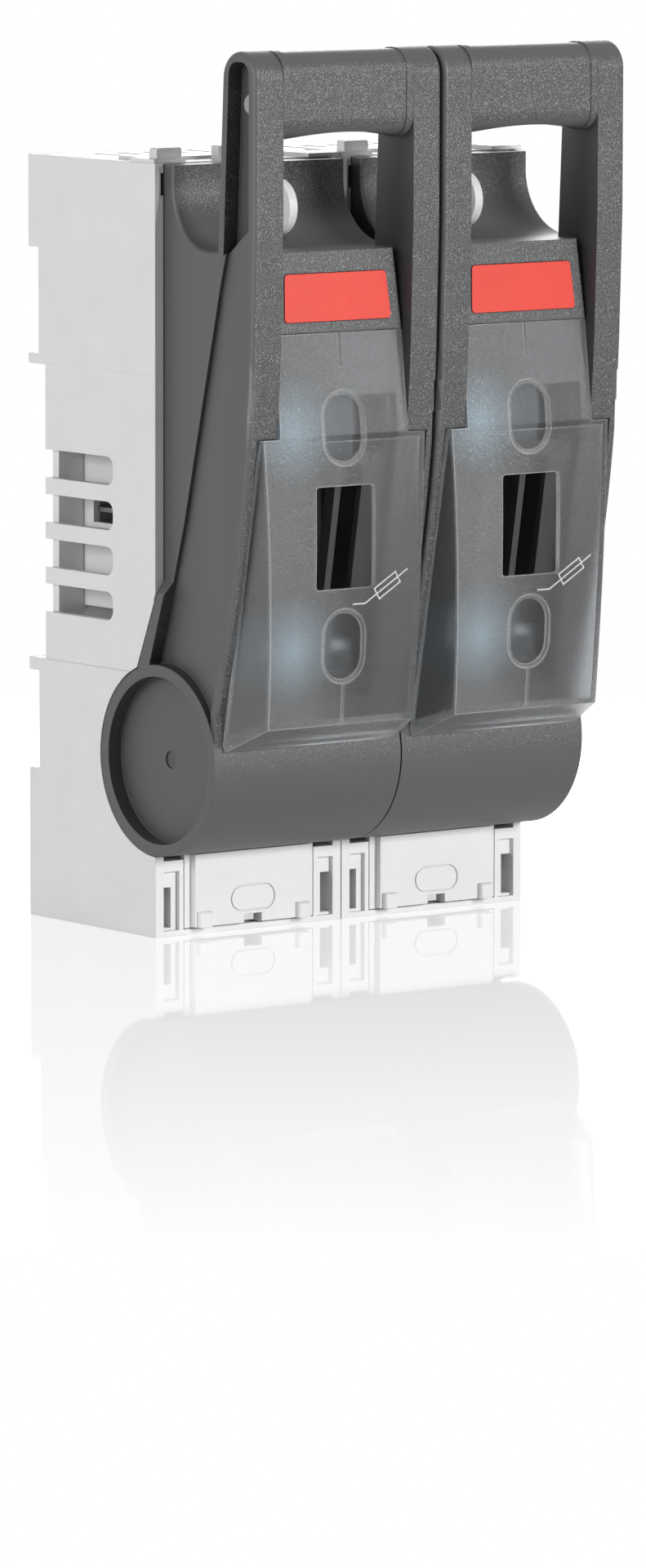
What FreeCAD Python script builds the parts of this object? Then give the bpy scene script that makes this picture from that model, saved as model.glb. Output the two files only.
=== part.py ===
import FreeCAD, Part
import math
import os

# Two single-pole fuse switch disconnectors, joined side by side and standing on their lower ends.
# X runs across the poles and Z is up. "forward" values are measured from the rim plane of the
# housings towards the handles, which is -Y. All sizes are in millimetres.

V = FreeCAD.Vector

# Reach of a cut past the face that it opens, and past a whole side of a piece
PAST = 1.0
FAR_PAST = 5.0

# Nearness at which an edge counts as lying on a face
TOUCH = 0.01

# Poles
POLE_NAMES = ("left", "right")
POLE_WIDTH = 73.0
POLE_CLEARANCE = 0.4

# Housing
HOUSING_DEPTH = 68.0
HOUSING_WALL = 3.2
BACK_TOP_BLOCK = 29.2
BACK_TOP_RECESS = 33.8
BACK_LIP = 3.2
BACK_BOTTOM_BLOCK = 47.5
BACK_BOTTOM_RECESS = 31.5
BACK_LOWER_LIP = 4.0
SHALLOW_RECESS = 5.4
DEEP_RECESS = 8.6
SIDE_PANEL_STEP = 0.3
SIDE_PANEL_SETBACK = 1.0
RIM_SLOT_WIDTH = 1.0
RIM_SLOT_HEIGHT = 7.0
RIM_SLOT_DROP = 3.0
RIM_SLOT_DEPTH = 5.0
SCREW_HOLE_RADIUS = 3.25
SCREW_HOLE_OFFSET = 18.5
SCREW_HOLE_TOP_DROP = 38.0
SCREW_HOLE_BOTTOM_RISE = 56.0
UPPER_JAW_DROP = 62.5

# Vents in the side walls
VENT_COUNT = 4
VENT_PITCH = 14.25
VENT_HEIGHT = 9.0
VENT_FRONT_SETBACK = 23.0
VENT_CORNER = 3.2
VENT_DROP = 4.25

# Front pillars and sill beside the lower terminal cover
PILLAR_HEIGHT = 24.0
PILLAR_WIDTH = 7.7
PILLAR_DEPTH = 12.0
PILLAR_SKIN = 1.6
PILLAR_RECESS_TOP = 20.5
PILLAR_WINDOW_BOTTOM = 2.6
PILLAR_WINDOW_TOP = 15.4
PILLAR_WINDOW_WIDTH = 3.8
SILL_HEIGHT = 1.8
SILL_DEPTH = 6.0

# Hinge
HINGE_FORWARD = 1.2
HINGE_HEIGHT = 56.2
DISC_RADIUS = 30.1
DISC_CLEARANCE = 0.6
DISC_SETBACK = 0.1
DISC_RIM = 3.6
DISC_RECESS = 5.0
DISC_FLOOR = 2.5
NOTCH_RISE = 52.5
NOTCH_FRONT_ANGLE = 60.0
CHEEK_REAR_ANGLE = 112.0
PIN_RADIUS = 2.7
RUNNING_CLEARANCE = 0.05
PIN_END_SETBACK = 0.4
EAR_THICKNESS = 4.0
EAR_CLEARANCE = 0.4
EAR_BOSS_RADIUS = 8.0
EAR_FOOT_RISE = 5.8
EAR_TOP_RISE = 31.8
EAR_FOOT_REACH = 24.1
EAR_LOW_ANGLE = -110.0
EAR_FRONT_ANGLE = 45.0

# Lid
LID_WALL = 3.0
LID_SIDE_CLEARANCE = 0.3
LID_TOP_DROP = 0.4
SKIRT_CLEARANCE = 0.3
SKIRT_DEPTH = 2.0
FLARE_START = 0.5
FLARE_END = 33.5
DRUM_WALL = 2.7
DRUM_TOP_ANGLE = 12.0
DRUM_TAIL_ANGLE = -95.0
DRUM_INNER_LEAD = 3.0
SCOOP_WALL_FORWARD = 5.5
SCOOP_RADIUS = 20.0
SCOOP_EDGE_RADIUS = 1.0
LEDGE_DROP = 25.6
HEAD_HEIGHT = 25.0
HEAD_TOP_FORWARD = 43.6
HEAD_FOOT_FORWARD = 46.3
HEAD_TOP_GAP = 2.3
HEAD_FOOT_GAP = 0.7
HEAD_FLANK_DEPTH = 2.4
SHOULDER_DROP = 32.0
FRAME_SIDE_WIDTH = 3.3
FRAME_OPENING_RISE = 19.8
FRAME_OPENING_DROP = 20.0

# Handle arms and cheeks
REACH = 51.5
HANDLE_RISE = 36.3
ARM_WIDTH = 10.9
ARM_TOP_DEPTH = 17.2
ARM_FOOT_DEPTH = 19.8
ARM_CORNER = 8.4
ARM_LEAN_RISE = 9.0
CHEEK_SHOULDER_FORWARD = 50.2
CHEEK_SHOULDER_DROP = 32.0
CHEEK_WAIST_FORWARD = 42.6
CHEEK_WAIST_RISE = 63.8
CHEEK_FOOT_FORWARD = 31.0
CHEEK_FOOT_RISE = 16.8
CHEEK_RIM = 3.0
ARM_EDGE_RADIUS = 1.5
CHANNEL_DEPTH = 5.4
CHANNEL_REAR_FLANGE = 3.5
CHANNEL_FRONT_FLANGE = 3.2
CHANNEL_CORNER = 4.0
POCKET_DEPTH = 1.5
POCKET_RIM = 3.2
POCKET_FOOT_FORWARD = -3.6
POCKET_FOOT_RISE = 30.5
POCKET_BEND_FORWARD = 12.2
POCKET_BEND_RISE = 76.0
POCKET_TOP_FORWARD = 36.6
POCKET_LOW_ANGLE = 20.0
BAND_CLEARANCE = 0.7
BAND_RAMP = 4.7

# Grip and its pin
GRIP_HEIGHT = 27.4
GRIP_DEPTH = 15.6
GRIP_CORNER = 6.5
GRIP_ARCH = 2.0
GRIP_WALL = 2.6
GRIP_COLLAR = 2.6
GRIP_COLLAR_STEP = 0.4
GRIP_END_CLEARANCE = 0.1
GRIP_PIN_RADIUS = 3.15
GRIP_PIN_DROP = 16.3
GRIP_PIN_SETBACK = 8.6
GRIP_PIN_STICKOUT = 1.2
GRIP_PIN_CHAMFER = 0.5

# Window cover
COVER_WALL = 1.8
COVER_STEP = 2.2
COVER_CLEARANCE = 0.25
COVER_SHOULDER_FORWARD = 49.7
COVER_BULGE_FORWARD = 50.3
COVER_FOOT_FORWARD = 47.9
COVER_FOOT_RISE = 13.3
COVER_REAR_FOOT_FORWARD = 31.8
COVER_REAR_FOOT_RISE = 5.3
COVER_TOP_INSET = 4.9
COVER_FOOT_INSET = 7.9
COVER_REAR_INSET = 3.3
COVER_REAR_LIP = 2.0
COVER_ARM_CLEARANCE = 0.4
WINDOW_HALF_WIDTH = 11.4
WINDOW_HEIGHT = 32.0
WINDOW_CORNER = 1.2
OVAL_WIDTH = 16.8
OVAL_HEIGHT = 23.7
OVAL_SPACING = 68.0
OVAL_RIM = 1.3
OVAL_RIM_DEPTH = 0.5
OVAL_DEPTH = 1.0
RIDGE_WIDTH = 0.9
RIDGE_HEIGHT = 0.4
GROOVE_WIDTH = 1.2
GROOVE_LENGTH = 10.6
GROOVE_DEPTH = 0.7

# Label plate
LABEL_THICKNESS = 1.2
LABEL_RECESS = 0.9
LABEL_CLEARANCE = 0.15
LABEL_TOP_MARGIN = 3.4
LABEL_FOOT_MARGIN = 3.9
LABEL_CORNER = 1.3
LABEL_HEIGHT = 14.8
LABEL_TOP_DROP = 6.8

# Lock tab
TAB_RADIUS = 8.7
TAB_THICKNESS = 3.1
TAB_FORWARD = 14.5
TAB_RISE = 12.0
TAB_TONGUE_HEIGHT = 7.0
TAB_TONGUE_REACH = 7.0
TAB_STOP_HALF = 4.0
TAB_STOP_LENGTH = 2.0
TAB_CLEARANCE = 0.3
TAB_SLOT_FORWARD = 17.5
TAB_SLOT_DROP = 10.0
TAB_SLOT_RISE = 8.0

# Fuse-link that the contacts are made for
JAW_SPACING = 104.5
LOWER_JAW_RISE = 19.8
BLADE_THICKNESS = 6.0

# Contacts
BAR_WIDTH = 25.0
BAR_THICKNESS = 4.0
JAW_HEIGHT = 22.0
JAW_ROOT_FORWARD = -6.0
JAW_REACH = 20.0
JAW_LIMB = 2.4
JAW_PINCH = 0.2
JAW_FLARE = 2.2
RISER_FORWARD = -38.0
PAD_HOLE_RADIUS = 5.5
UPPER_PAD_DROP = 17.0
LOWER_PAD_RISE = 18.0
PAD_END = 10.0
JAW_ROOT_OPENING = 0.8
JAW_SPRING_THICKNESS = 1.0
JAW_SPRING_HEIGHT = 13.0
JAW_SPRING_FOOT = 5.0
JAW_SPRING_BEND = 14.0
JAW_SPRING_CLEARANCE = 0.15

# Contact blocks
BLOCK_SIDE_GAP = 2.5
BLOCK_WALL = 2.5
BLOCK_HEIGHT = 33.0
BLOCK_FORWARD = 24.0
BLOCK_BACK = 3.8
BLOCK_SLOT_HALF = 5.0
SEAT_CLEARANCE = 0.3
BAR_CLEARANCE = 0.2
BAR_SLOT_CLEARANCE = 0.3

# Arc chamber
CHAMBER_WALL = 2.5
CHAMBER_SIDE_GAP = 9.8
CHAMBER_END_GAP = 7.25
CHAMBER_FORWARD = -14.0
CHAMBER_GROOVE = 0.8
CHAMBER_WINDOW_HEIGHT = 9.0
CHAMBER_RIB_FORWARD = -37.0
CHAMBER_RIB_WIDTH = 5.0
CHAMBER_RIB_HEIGHT = 1.6
ARC_PLATE_COUNT = 10
ARC_END_MARGIN = 6.9
ARC_PLATE_THICKNESS = 1.5
ARC_PLATE_NOTCH = 14.0
ARC_PLATE_SETBACK = 1.0
ARC_GROOVE_CLEARANCE = 0.15
ARC_SIDE_CLEARANCE = 0.2

# Terminal posts in the housing
POST_HALF_WIDTH = 14.0
POST_HALF_HEIGHT = 13.0
POST_WALL_CLEARANCE = 0.1

# Fasteners
BOLT_RADIUS = 5.0
BOLT_FLATS = 17.0
BOLT_HEAD = 6.4
BOLT_REACH = 16.0
WASHER_RADIUS = 10.0
WASHER_THICKNESS = 2.0
NUT_HEIGHT = 8.0
HEX_CLEARANCE = 0.3
SCREW_RADIUS = 1.5
SCREW_FLATS = 4.4
SCREW_HEAD_HEIGHT = 2.0
SCREW_OFFSET = 10.0
SCREW_LENGTH = 7.4
WASHER_HOLE_CLEARANCE = 0.25

# Fuse carrier in the lid
CARRIER_SIDE_GAP = 1.6
CARRIER_THICKNESS = 2.4
CARRIER_RAIL = 2.4
CARRIER_RAIL_DEPTH = 10.0
CARRIER_FOOT_RISE = 21.0
CARRIER_TOP_RISE = 17.0
CARRIER_RAIL_FOOT_RISE = 34.0
CARRIER_WINDOW_HALF = 13.0
CARRIER_WINDOW_HEIGHT = 42.0
CARRIER_BAR = 4.5
CARRIER_END_WINDOW = 18.5
CARRIER_END_WINDOW_SIDE = 2.0
CARRIER_RIB = 2.4
CARRIER_RIB_OFFSET = 2.6
CLIP_HALF_WIDTH = 7.0
CLIP_THICKNESS = 0.8
CLIP_BASE = 10.0
CLIP_REACH = 5.0
CATCH_HALF_WIDTH = 9.5
CATCH_THICKNESS = 3.5
CATCH_OVERLAP = 2.0

# Terminal covers
TOP_COVER_THICKNESS = 2.6
TOP_COVER_FRONT = -3.0
TOP_COVER_SIDE_CLEARANCE = 0.3
TOP_COVER_RIM = 7.0
TOP_TAB_INSET = 0.8
TOP_TAB_WIDTH = 9.5
TOP_MIDDLE_TAB_HALF = 8.5
TOP_TAB_HEIGHT = 4.5
TOP_TAB_SETBACK = 1.5
TOP_TAB_THICKNESS = 4.0
TOP_TAB_CORNER = 1.0
TOP_PAD_INNER = 24.0
TOP_PAD_INSET = 0.4
TOP_PAD_HEIGHT = 1.3
TOP_PAD_FRONT = -1.0
TOP_PAD_REAR = -14.0
TOP_RIDGE_REAR = -30.0
TOP_RIDGE_SIDE = 4.3
TOP_RIDGE_HEIGHT = 1.0
TOP_SLOT_PITCH = 9.0
TOP_SLOT_COUNT = 5
TOP_SLOT_WIDTH = 3.0
BOTTOM_COVER_THICKNESS = 2.2
BOTTOM_COVER_SIDE_CLEARANCE = 0.3
BOTTOM_COVER_DISC_CLEARANCE = 0.5
PANEL_PROUD = 2.3
PANEL_SIDE_INSET = 2.9
PANEL_FOOT = 2.4
KNOCKOUT_WIDTH = 17.4
KNOCKOUT_HEIGHT = 8.4
KNOCKOUT_RISE = 10.3
KNOCKOUT_GROOVE = 0.45
NOTCH_HALF_WIDTH = 3.5
NOTCH_HEIGHT = 2.8
HOOK_INSET = 0.9
HOOK_WIDTH = 4.8
HOOK_PROUD = 4.4
HOOK_CORNER = 1.0
HOOK_TOP = 7.3

# Joining keys between the housings
KEY_HEIGHTS = (24.0, 228.0)
KEY_WAIST = 2.0
KEY_FLARE = 4.0
KEY_DEPTH = 2.3
KEY_LENGTH = 12.0
KEY_CLEARANCE = 0.1

# Places worked out from the sizes above
HALF = POLE_WIDTH / 2
POLE_PITCH = POLE_WIDTH + POLE_CLEARANCE
INNER_HALF = HALF - HOUSING_WALL
LOWER_JAW = HINGE_HEIGHT + LOWER_JAW_RISE
UPPER_JAW = LOWER_JAW + JAW_SPACING
FUSE_CENTRE = (LOWER_JAW + UPPER_JAW) / 2
HOUSING_HEIGHT = UPPER_JAW + UPPER_JAW_DROP
HANDLE_TOP = HOUSING_HEIGHT + HANDLE_RISE
UPPER_PAD = HOUSING_HEIGHT - UPPER_PAD_DROP
VENT_CENTRE = FUSE_CENTRE - VENT_DROP
LID_HALF = HALF - LID_SIDE_CLEARANCE
SKIRT_HALF = INNER_HALF - SKIRT_CLEARANCE
LID_TOP = HOUSING_HEIGHT - LID_TOP_DROP
LEDGE_HEIGHT = LID_TOP - LEDGE_DROP
HEAD_BOTTOM = LEDGE_HEIGHT - HEAD_HEIGHT
SHOULDER_HEIGHT = HEAD_BOTTOM - SHOULDER_DROP
SCOOP_HEIGHT = LEDGE_HEIGHT + SCOOP_RADIUS
CHEEK_SHOULDER_HEIGHT = LEDGE_HEIGHT - CHEEK_SHOULDER_DROP
CHEEK_WAIST_HEIGHT = HINGE_HEIGHT + CHEEK_WAIST_RISE
ARM_INNER = LID_HALF - ARM_WIDTH
HEAD_TOP_HALF = ARM_INNER - HEAD_TOP_GAP
HEAD_FOOT_HALF = ARM_INNER - HEAD_FOOT_GAP
FRAME_OPENING_HALF = ARM_INNER - FRAME_SIDE_WIDTH
FRAME_OPENING_LOW = HINGE_HEIGHT + FRAME_OPENING_RISE
FRAME_OPENING_HIGH = HEAD_BOTTOM - FRAME_OPENING_DROP
COVER_FRONT_HALF_TOP = LID_HALF - COVER_TOP_INSET
COVER_FRONT_HALF_FOOT = LID_HALF - COVER_FOOT_INSET
COVER_REAR_HALF_FOOT = LID_HALF - COVER_REAR_INSET
LABEL_TOP_HALF = HEAD_TOP_HALF - LABEL_TOP_MARGIN
LABEL_FOOT_HALF = HEAD_FOOT_HALF - LABEL_FOOT_MARGIN
DISC_FACE = HALF - DISC_SETBACK
DISC_FLOOR_FACE = DISC_FACE - DISC_RECESS
DISC_INNER_FACE = DISC_FLOOR_FACE - DISC_FLOOR
EAR_OUTER = DISC_INNER_FACE - EAR_CLEARANCE
EAR_INNER = EAR_OUTER - EAR_THICKNESS
BLOCK_HALF_WIDTH = EAR_INNER - BLOCK_SIDE_GAP
CHAMBER_HALF_WIDTH = INNER_HALF - CHAMBER_SIDE_GAP
CHAMBER_HEIGHT = JAW_SPACING - BLOCK_HEIGHT - 2 * CHAMBER_END_GAP
ARC_PLATE_PITCH = (CHAMBER_HEIGHT - 2 * ARC_END_MARGIN) / (ARC_PLATE_COUNT - 1)
CARRIER_HALF_WIDTH = LID_HALF - LID_WALL - CARRIER_SIDE_GAP
PANEL_HALF_WIDTH = INNER_HALF - PILLAR_WIDTH - PANEL_SIDE_INSET
FRAME_SHOULDER_FORWARD = COVER_SHOULDER_FORWARD - COVER_STEP
FRAME_FOOT_FORWARD = HINGE_FORWARD + DISC_RADIUS * math.cos(math.radians(DRUM_TOP_ANGLE))
FRAME_FOOT_HEIGHT = HINGE_HEIGHT + DISC_RADIUS * math.sin(math.radians(DRUM_TOP_ANGLE))
BACK_INNER = -(HOUSING_DEPTH - DEEP_RECESS - HOUSING_WALL)
ROW_SHIFT = (REACH - HOUSING_DEPTH) / 2

PLANES = {
    "side": (lambda forward, height: V(0, -forward, height), V(1, 0, 0)),
    "plan": (lambda across, forward: V(across, -forward, 0), V(0, 0, 1)),
    "front": (lambda across, height: V(across, 0, height), V(0, -1, 0)),
}


class Outline:
    """A closed outline of lines and arcs in one of the three main planes."""

    def __init__(self, plane, *start):
        self.to_point, self.normal = PLANES[plane]
        self.first = self.to_point(*start)
        self.here = self.first
        self.edges = []

    def line(self, *place):
        end = self.to_point(*place)
        if end.distanceToPoint(self.here) > 1e-6:
            self.edges.append(Part.LineSegment(self.here, end).toShape())
            self.here = end
        return self

    def lines(self, *places):
        for place in places:
            self.line(*place)
        return self

    def arc(self, via, end):
        last = self.to_point(*end)
        self.edges.append(Part.Arc(self.here, self.to_point(*via), last).toShape())
        self.here = last
        return self

    def prism(self, low, high):
        if self.here.distanceToPoint(self.first) > 1e-6:
            self.edges.append(Part.LineSegment(self.here, self.first).toShape())
            self.here = self.first
        face = Part.Face(Part.Wire(self.edges))
        face.translate(self.normal * low)
        return face.extrude(self.normal * (high - low))


def block(left, right, rear, front, low, high):
    """A box from its limits across, forward and in height."""
    return Part.makeBox(right - left, front - rear, high - low, V(left, -front, low))


def rod_across(forward, height, radius, left, right):
    return Part.makeCylinder(radius, right - left, V(left, -forward, height), V(1, 0, 0))


def rod_forward(across, height, radius, rear, front):
    return Part.makeCylinder(radius, front - rear, V(across, -rear, height), V(0, -1, 0))


def hexagon_forward(across, height, flats, rear, front):
    """A hexagonal prism with two flats upright, its axis forward."""
    corner = flats / 2 / math.cos(math.pi / 6)
    points = [
        (across + corner * math.cos(math.pi / 3 * k), height + corner * math.sin(math.pi / 3 * k))
        for k in range(6)
    ]
    return Outline("front", *points[0]).lines(*points[1:]).prism(rear, front)


def rounded_rectangle(plane, low_u, high_u, low_v, high_v, radius):
    """An outline of a rectangle with round corners, or a stadium if the radius fills a side."""
    bend = radius * (1 - math.sqrt(0.5))
    outline = Outline(plane, low_u + radius, low_v)
    outline.line(high_u - radius, low_v)
    outline.arc((high_u - bend, low_v + bend), (high_u, low_v + radius))
    outline.line(high_u, high_v - radius)
    outline.arc((high_u - bend, high_v - bend), (high_u - radius, high_v))
    outline.line(low_u + radius, high_v)
    outline.arc((low_u + bend, high_v - bend), (low_u, high_v - radius))
    outline.line(low_u, low_v + radius)
    outline.arc((low_u + bend, low_v + bend), (low_u + radius, low_v))
    return outline


def mirrored(shape):
    return shape.mirror(V(0, 0, 0), V(1, 0, 0))


def both_sides(shape):
    return shape.fuse(mirrored(shape))


def joined(shapes):
    whole = shapes[0].fuse(list(shapes[1:])) if len(shapes) > 1 else shapes[0]
    return whole.removeSplitter()


def on_circle(radius, angle):
    """The side-view place at an angle round the hinge axis, forward being 0 degrees."""
    turn = math.radians(angle)
    return HINGE_FORWARD + radius * math.cos(turn), HINGE_HEIGHT + radius * math.sin(turn)


def between(start, end, height):
    """The forward value at a height on the line through two side-view places."""
    share = (height - start[1]) / (end[1] - start[1])
    return start[0] + share * (end[0] - start[0])


def frame_forward(height):
    """Front of the lid's wall behind the window cover."""
    shoulder = (FRAME_SHOULDER_FORWARD, SHOULDER_HEIGHT)
    if height > SHOULDER_HEIGHT:
        return between(shoulder, (HEAD_FOOT_FORWARD - COVER_STEP, HEAD_BOTTOM), height)
    return between((FRAME_FOOT_FORWARD, FRAME_FOOT_HEIGHT), shoulder, height)


def head_forward(height):
    """Front of the lid's head, which leans back towards the top."""
    return between((HEAD_TOP_FORWARD, LEDGE_HEIGHT), (HEAD_FOOT_FORWARD, HEAD_BOTTOM), height)


# Housing


def back_steps(inset):
    """Side-view places of the stepped back, from the top down, moved inwards by an inset."""
    full = -HOUSING_DEPTH + inset
    shallow = full + SHALLOW_RECESS
    deep = full + DEEP_RECESS
    top_block = HOUSING_HEIGHT - BACK_TOP_BLOCK
    top_recess = top_block - BACK_TOP_RECESS
    low_recess = BACK_BOTTOM_BLOCK + BACK_BOTTOM_RECESS
    if inset == 0:
        return [
            (full, HOUSING_HEIGHT), (full, top_block), (shallow, top_block), (shallow, top_recess),
            (full, top_recess), (full, top_recess - BACK_LIP), (deep, top_recess - BACK_LIP),
            (deep, low_recess + BACK_LOWER_LIP), (full, low_recess + BACK_LOWER_LIP),
            (full, low_recess), (shallow, low_recess), (shallow, BACK_BOTTOM_BLOCK),
            (full, BACK_BOTTOM_BLOCK), (full, 0),
        ]
    return [
        (full, HOUSING_HEIGHT + PAST), (full, top_block + inset), (shallow, top_block + inset),
        (shallow, top_recess), (deep, top_recess), (deep, low_recess), (shallow, low_recess),
        (shallow, BACK_BOTTOM_BLOCK - inset), (full, BACK_BOTTOM_BLOCK - inset), (full, -PAST),
    ]


def housing_shell():
    """Side walls and stepped back wall, open in front, above and below."""
    outer = Outline("side", 0, HOUSING_HEIGHT).lines(*back_steps(0)).line(0, 0).prism(-HALF, HALF)
    hollow = Outline("side", PAST, HOUSING_HEIGHT + PAST).lines(*back_steps(HOUSING_WALL))
    hollow.line(PAST, -PAST)
    return outer.cut(hollow.prism(-INNER_HALF, INNER_HALF))


def disc_notch():
    """Space that the hinge disc and the slanted cheek need in the side walls."""
    reach = DISC_RADIUS + DISC_CLEARANCE
    circle = rod_across(HINGE_FORWARD, HINGE_HEIGHT, reach, -HALF - PAST, HALF + PAST)
    top = HINGE_HEIGHT + NOTCH_RISE
    slant = Outline("side", 0, top).line(*on_circle(reach, CHEEK_REAR_ANGLE))
    slant.line(*on_circle(reach, NOTCH_FRONT_ANGLE)).line(reach, top)
    return circle.fuse(slant.prism(-HALF - PAST, HALF + PAST))


def vents():
    """Four slots in each side wall, open at the rear, with round front corners."""
    slots = []
    for k in range(VENT_COUNT):
        middle = VENT_CENTRE + (k - (VENT_COUNT - 1) / 2) * VENT_PITCH
        slot = rounded_rectangle(
            "side", -HOUSING_DEPTH - VENT_CORNER - PAST, -VENT_FRONT_SETBACK,
            middle - VENT_HEIGHT / 2, middle + VENT_HEIGHT / 2, VENT_CORNER,
        )
        slots.append(slot.prism(INNER_HALF, HALF + PAST))
    return both_sides(Part.makeCompound(slots))


def pillars():
    """Hollow front pillars beside the lower cover, with a recessed face and a window."""
    inner = INNER_HALF - PILLAR_WIDTH
    body = block(inner, INNER_HALF, -PILLAR_DEPTH, 0, 0, PILLAR_HEIGHT)
    rib = inner + PILLAR_SKIN
    recess = block(rib, INNER_HALF, -PILLAR_SKIN, PAST, SILL_HEIGHT, PILLAR_RECESS_TOP)
    hollow = block(
        rib, INNER_HALF, PILLAR_SKIN - PILLAR_DEPTH, -2 * PILLAR_SKIN,
        PILLAR_WINDOW_BOTTOM, PILLAR_HEIGHT + PAST,
    )
    window = block(
        INNER_HALF - PILLAR_WINDOW_WIDTH, INNER_HALF, -PILLAR_DEPTH / 2, PAST,
        PILLAR_WINDOW_BOTTOM, PILLAR_WINDOW_TOP,
    )
    return both_sides(body.cut([recess, hollow, window]))


def hinge_ears():
    """Ears that carry the hinge pins, reaching forward above the path of the lid's drum."""
    low = HINGE_HEIGHT + EAR_FOOT_RISE
    high = HINGE_HEIGHT + EAR_TOP_RISE
    rear = -HOUSING_DEPTH + SHALLOW_RECESS + HOUSING_WALL / 2
    web = Outline("side", rear, low).line(HINGE_FORWARD - EAR_FOOT_REACH, low)
    web.line(*on_circle(EAR_BOSS_RADIUS, EAR_LOW_ANGLE))
    web.line(*on_circle(EAR_BOSS_RADIUS, -EAR_FRONT_ANGLE))
    web.line(*on_circle(EAR_BOSS_RADIUS, EAR_FRONT_ANGLE))
    web.lines((HINGE_FORWARD - EAR_BOSS_RADIUS, high), (rear, high))
    boss = rod_across(HINGE_FORWARD, HINGE_HEIGHT, EAR_BOSS_RADIUS, EAR_INNER, EAR_OUTER)
    ear = web.prism(EAR_INNER, EAR_OUTER).fuse(boss)
    bore = rod_across(
        HINGE_FORWARD, HINGE_HEIGHT, PIN_RADIUS + RUNNING_CLEARANCE, 0, EAR_OUTER + PAST
    )
    return both_sides(ear.cut(bore).removeSplitter())


def terminal_post(height):
    """Post on the back wall behind a terminal pad, with a pocket for the bolt's head."""
    front = RISER_FORWARD - BAR_THICKNESS - POST_WALL_CLEARANCE
    rear = -HOUSING_DEPTH + HOUSING_WALL / 2
    body = block(
        -POST_HALF_WIDTH, POST_HALF_WIDTH, rear, front,
        height - POST_HALF_HEIGHT, height + POST_HALF_HEIGHT,
    )
    pocket = hexagon_forward(
        0, height, BOLT_FLATS + 2 * HEX_CLEARANCE, front - BOLT_HEAD - HEX_CLEARANCE, front + PAST
    )
    return body.cut(pocket)


def screw_holes():
    """Four mounting holes through the back wall."""
    holes = []
    front = -HOUSING_DEPTH + SHALLOW_RECESS + HOUSING_WALL + PAST
    for height in (HOUSING_HEIGHT - SCREW_HOLE_TOP_DROP, SCREW_HOLE_BOTTOM_RISE):
        for across in (-SCREW_HOLE_OFFSET, SCREW_HOLE_OFFSET):
            holes.append(rod_forward(across, height, SCREW_HOLE_RADIUS, -HOUSING_DEPTH, front))
    return Part.makeCompound(holes)


def rim_slots():
    """Thin latch slots at the top of the front rim."""
    top = HOUSING_HEIGHT - RIM_SLOT_DROP
    slot = block(
        INNER_HALF - PAST, INNER_HALF + RIM_SLOT_WIDTH, -RIM_SLOT_DEPTH, PAST,
        top - RIM_SLOT_HEIGHT, top,
    )
    return both_sides(slot)


def side_panels():
    """Shallow step of the side walls between the upper and lower blocks of the back."""
    top = HOUSING_HEIGHT - BACK_TOP_BLOCK - BACK_TOP_RECESS - BACK_LIP
    low = BACK_BOTTOM_BLOCK + BACK_BOTTOM_RECESS + BACK_LOWER_LIP
    panel = block(
        HALF - SIDE_PANEL_STEP, HALF + PAST, -HOUSING_DEPTH - PAST, -SIDE_PANEL_SETBACK, low, top
    )
    return both_sides(panel)


def key_prism(height, grow, rear_grow):
    """Double dovetail between two housings, seen from the rear."""
    waist = KEY_WAIST + grow
    flare = KEY_FLARE + grow
    reach = KEY_DEPTH + grow
    outline = Outline("front", -reach, height - flare)
    outline.lines((0, height - waist), (reach, height - flare), (reach, height + flare))
    outline.lines((0, height + waist), (-reach, height + flare))
    return outline.prism(-HOUSING_DEPTH - rear_grow, -HOUSING_DEPTH + KEY_LENGTH + grow)


def key_pockets(side):
    """Pockets for the joining keys in the wall that faces the other pole."""
    pockets = [key_prism(height, KEY_CLEARANCE, PAST) for height in KEY_HEIGHTS]
    moved = Part.makeCompound(pockets)
    moved.translate(V(side * POLE_PITCH / 2, 0, 0))
    return moved


def base_housing(key_side):
    sill = block(-INNER_HALF, INNER_HALF, -SILL_DEPTH, 0, 0, SILL_HEIGHT)
    backing = POST_HALF_HEIGHT + HOUSING_WALL
    key_pads = [
        block(
            key_side * (INNER_HALF - HOUSING_WALL / 2) - HOUSING_WALL,
            key_side * (INNER_HALF - HOUSING_WALL / 2) + HOUSING_WALL,
            -HOUSING_DEPTH, -HOUSING_DEPTH + KEY_LENGTH + HOUSING_WALL,
            height - backing / 2, height + backing / 2,
        )
        for height in KEY_HEIGHTS
    ]
    walls = housing_shell().cut([disc_notch(), vents(), screw_holes(), rim_slots(), side_panels()])
    posts = [terminal_post(UPPER_PAD), terminal_post(LOWER_PAD_RISE)]
    whole = joined([walls, pillars(), sill, hinge_ears()] + posts + key_pads)
    return whole.cut(key_pockets(key_side)).removeSplitter()


# Lid


def lid_plan(inset):
    """Width limit of the lid: narrow at the skirt, flaring to the full width at the arms."""
    skirt = SKIRT_HALF - inset
    full = LID_HALF - inset
    outline = Outline("plan", -skirt, -HOUSING_DEPTH)
    outline.lines((-skirt, FLARE_START), (-full, FLARE_END), (-full, REACH + PAST))
    outline.lines((full, REACH + PAST), (full, FLARE_END), (skirt, FLARE_START))
    outline.line(skirt, -HOUSING_DEPTH)
    return outline.prism(-PAST, HANDLE_TOP + PAST)


def scoop_arc(outline, radius_grow):
    """Quarter circle of the finger scoop, from its upright wall to its ledge."""
    centre = SCOOP_WALL_FORWARD + SCOOP_RADIUS
    radius = SCOOP_RADIUS + radius_grow
    bend = radius * math.sqrt(0.5)
    via = (centre - bend, SCOOP_HEIGHT - bend)
    return outline.arc(via, (centre, SCOOP_HEIGHT - radius))


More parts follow.
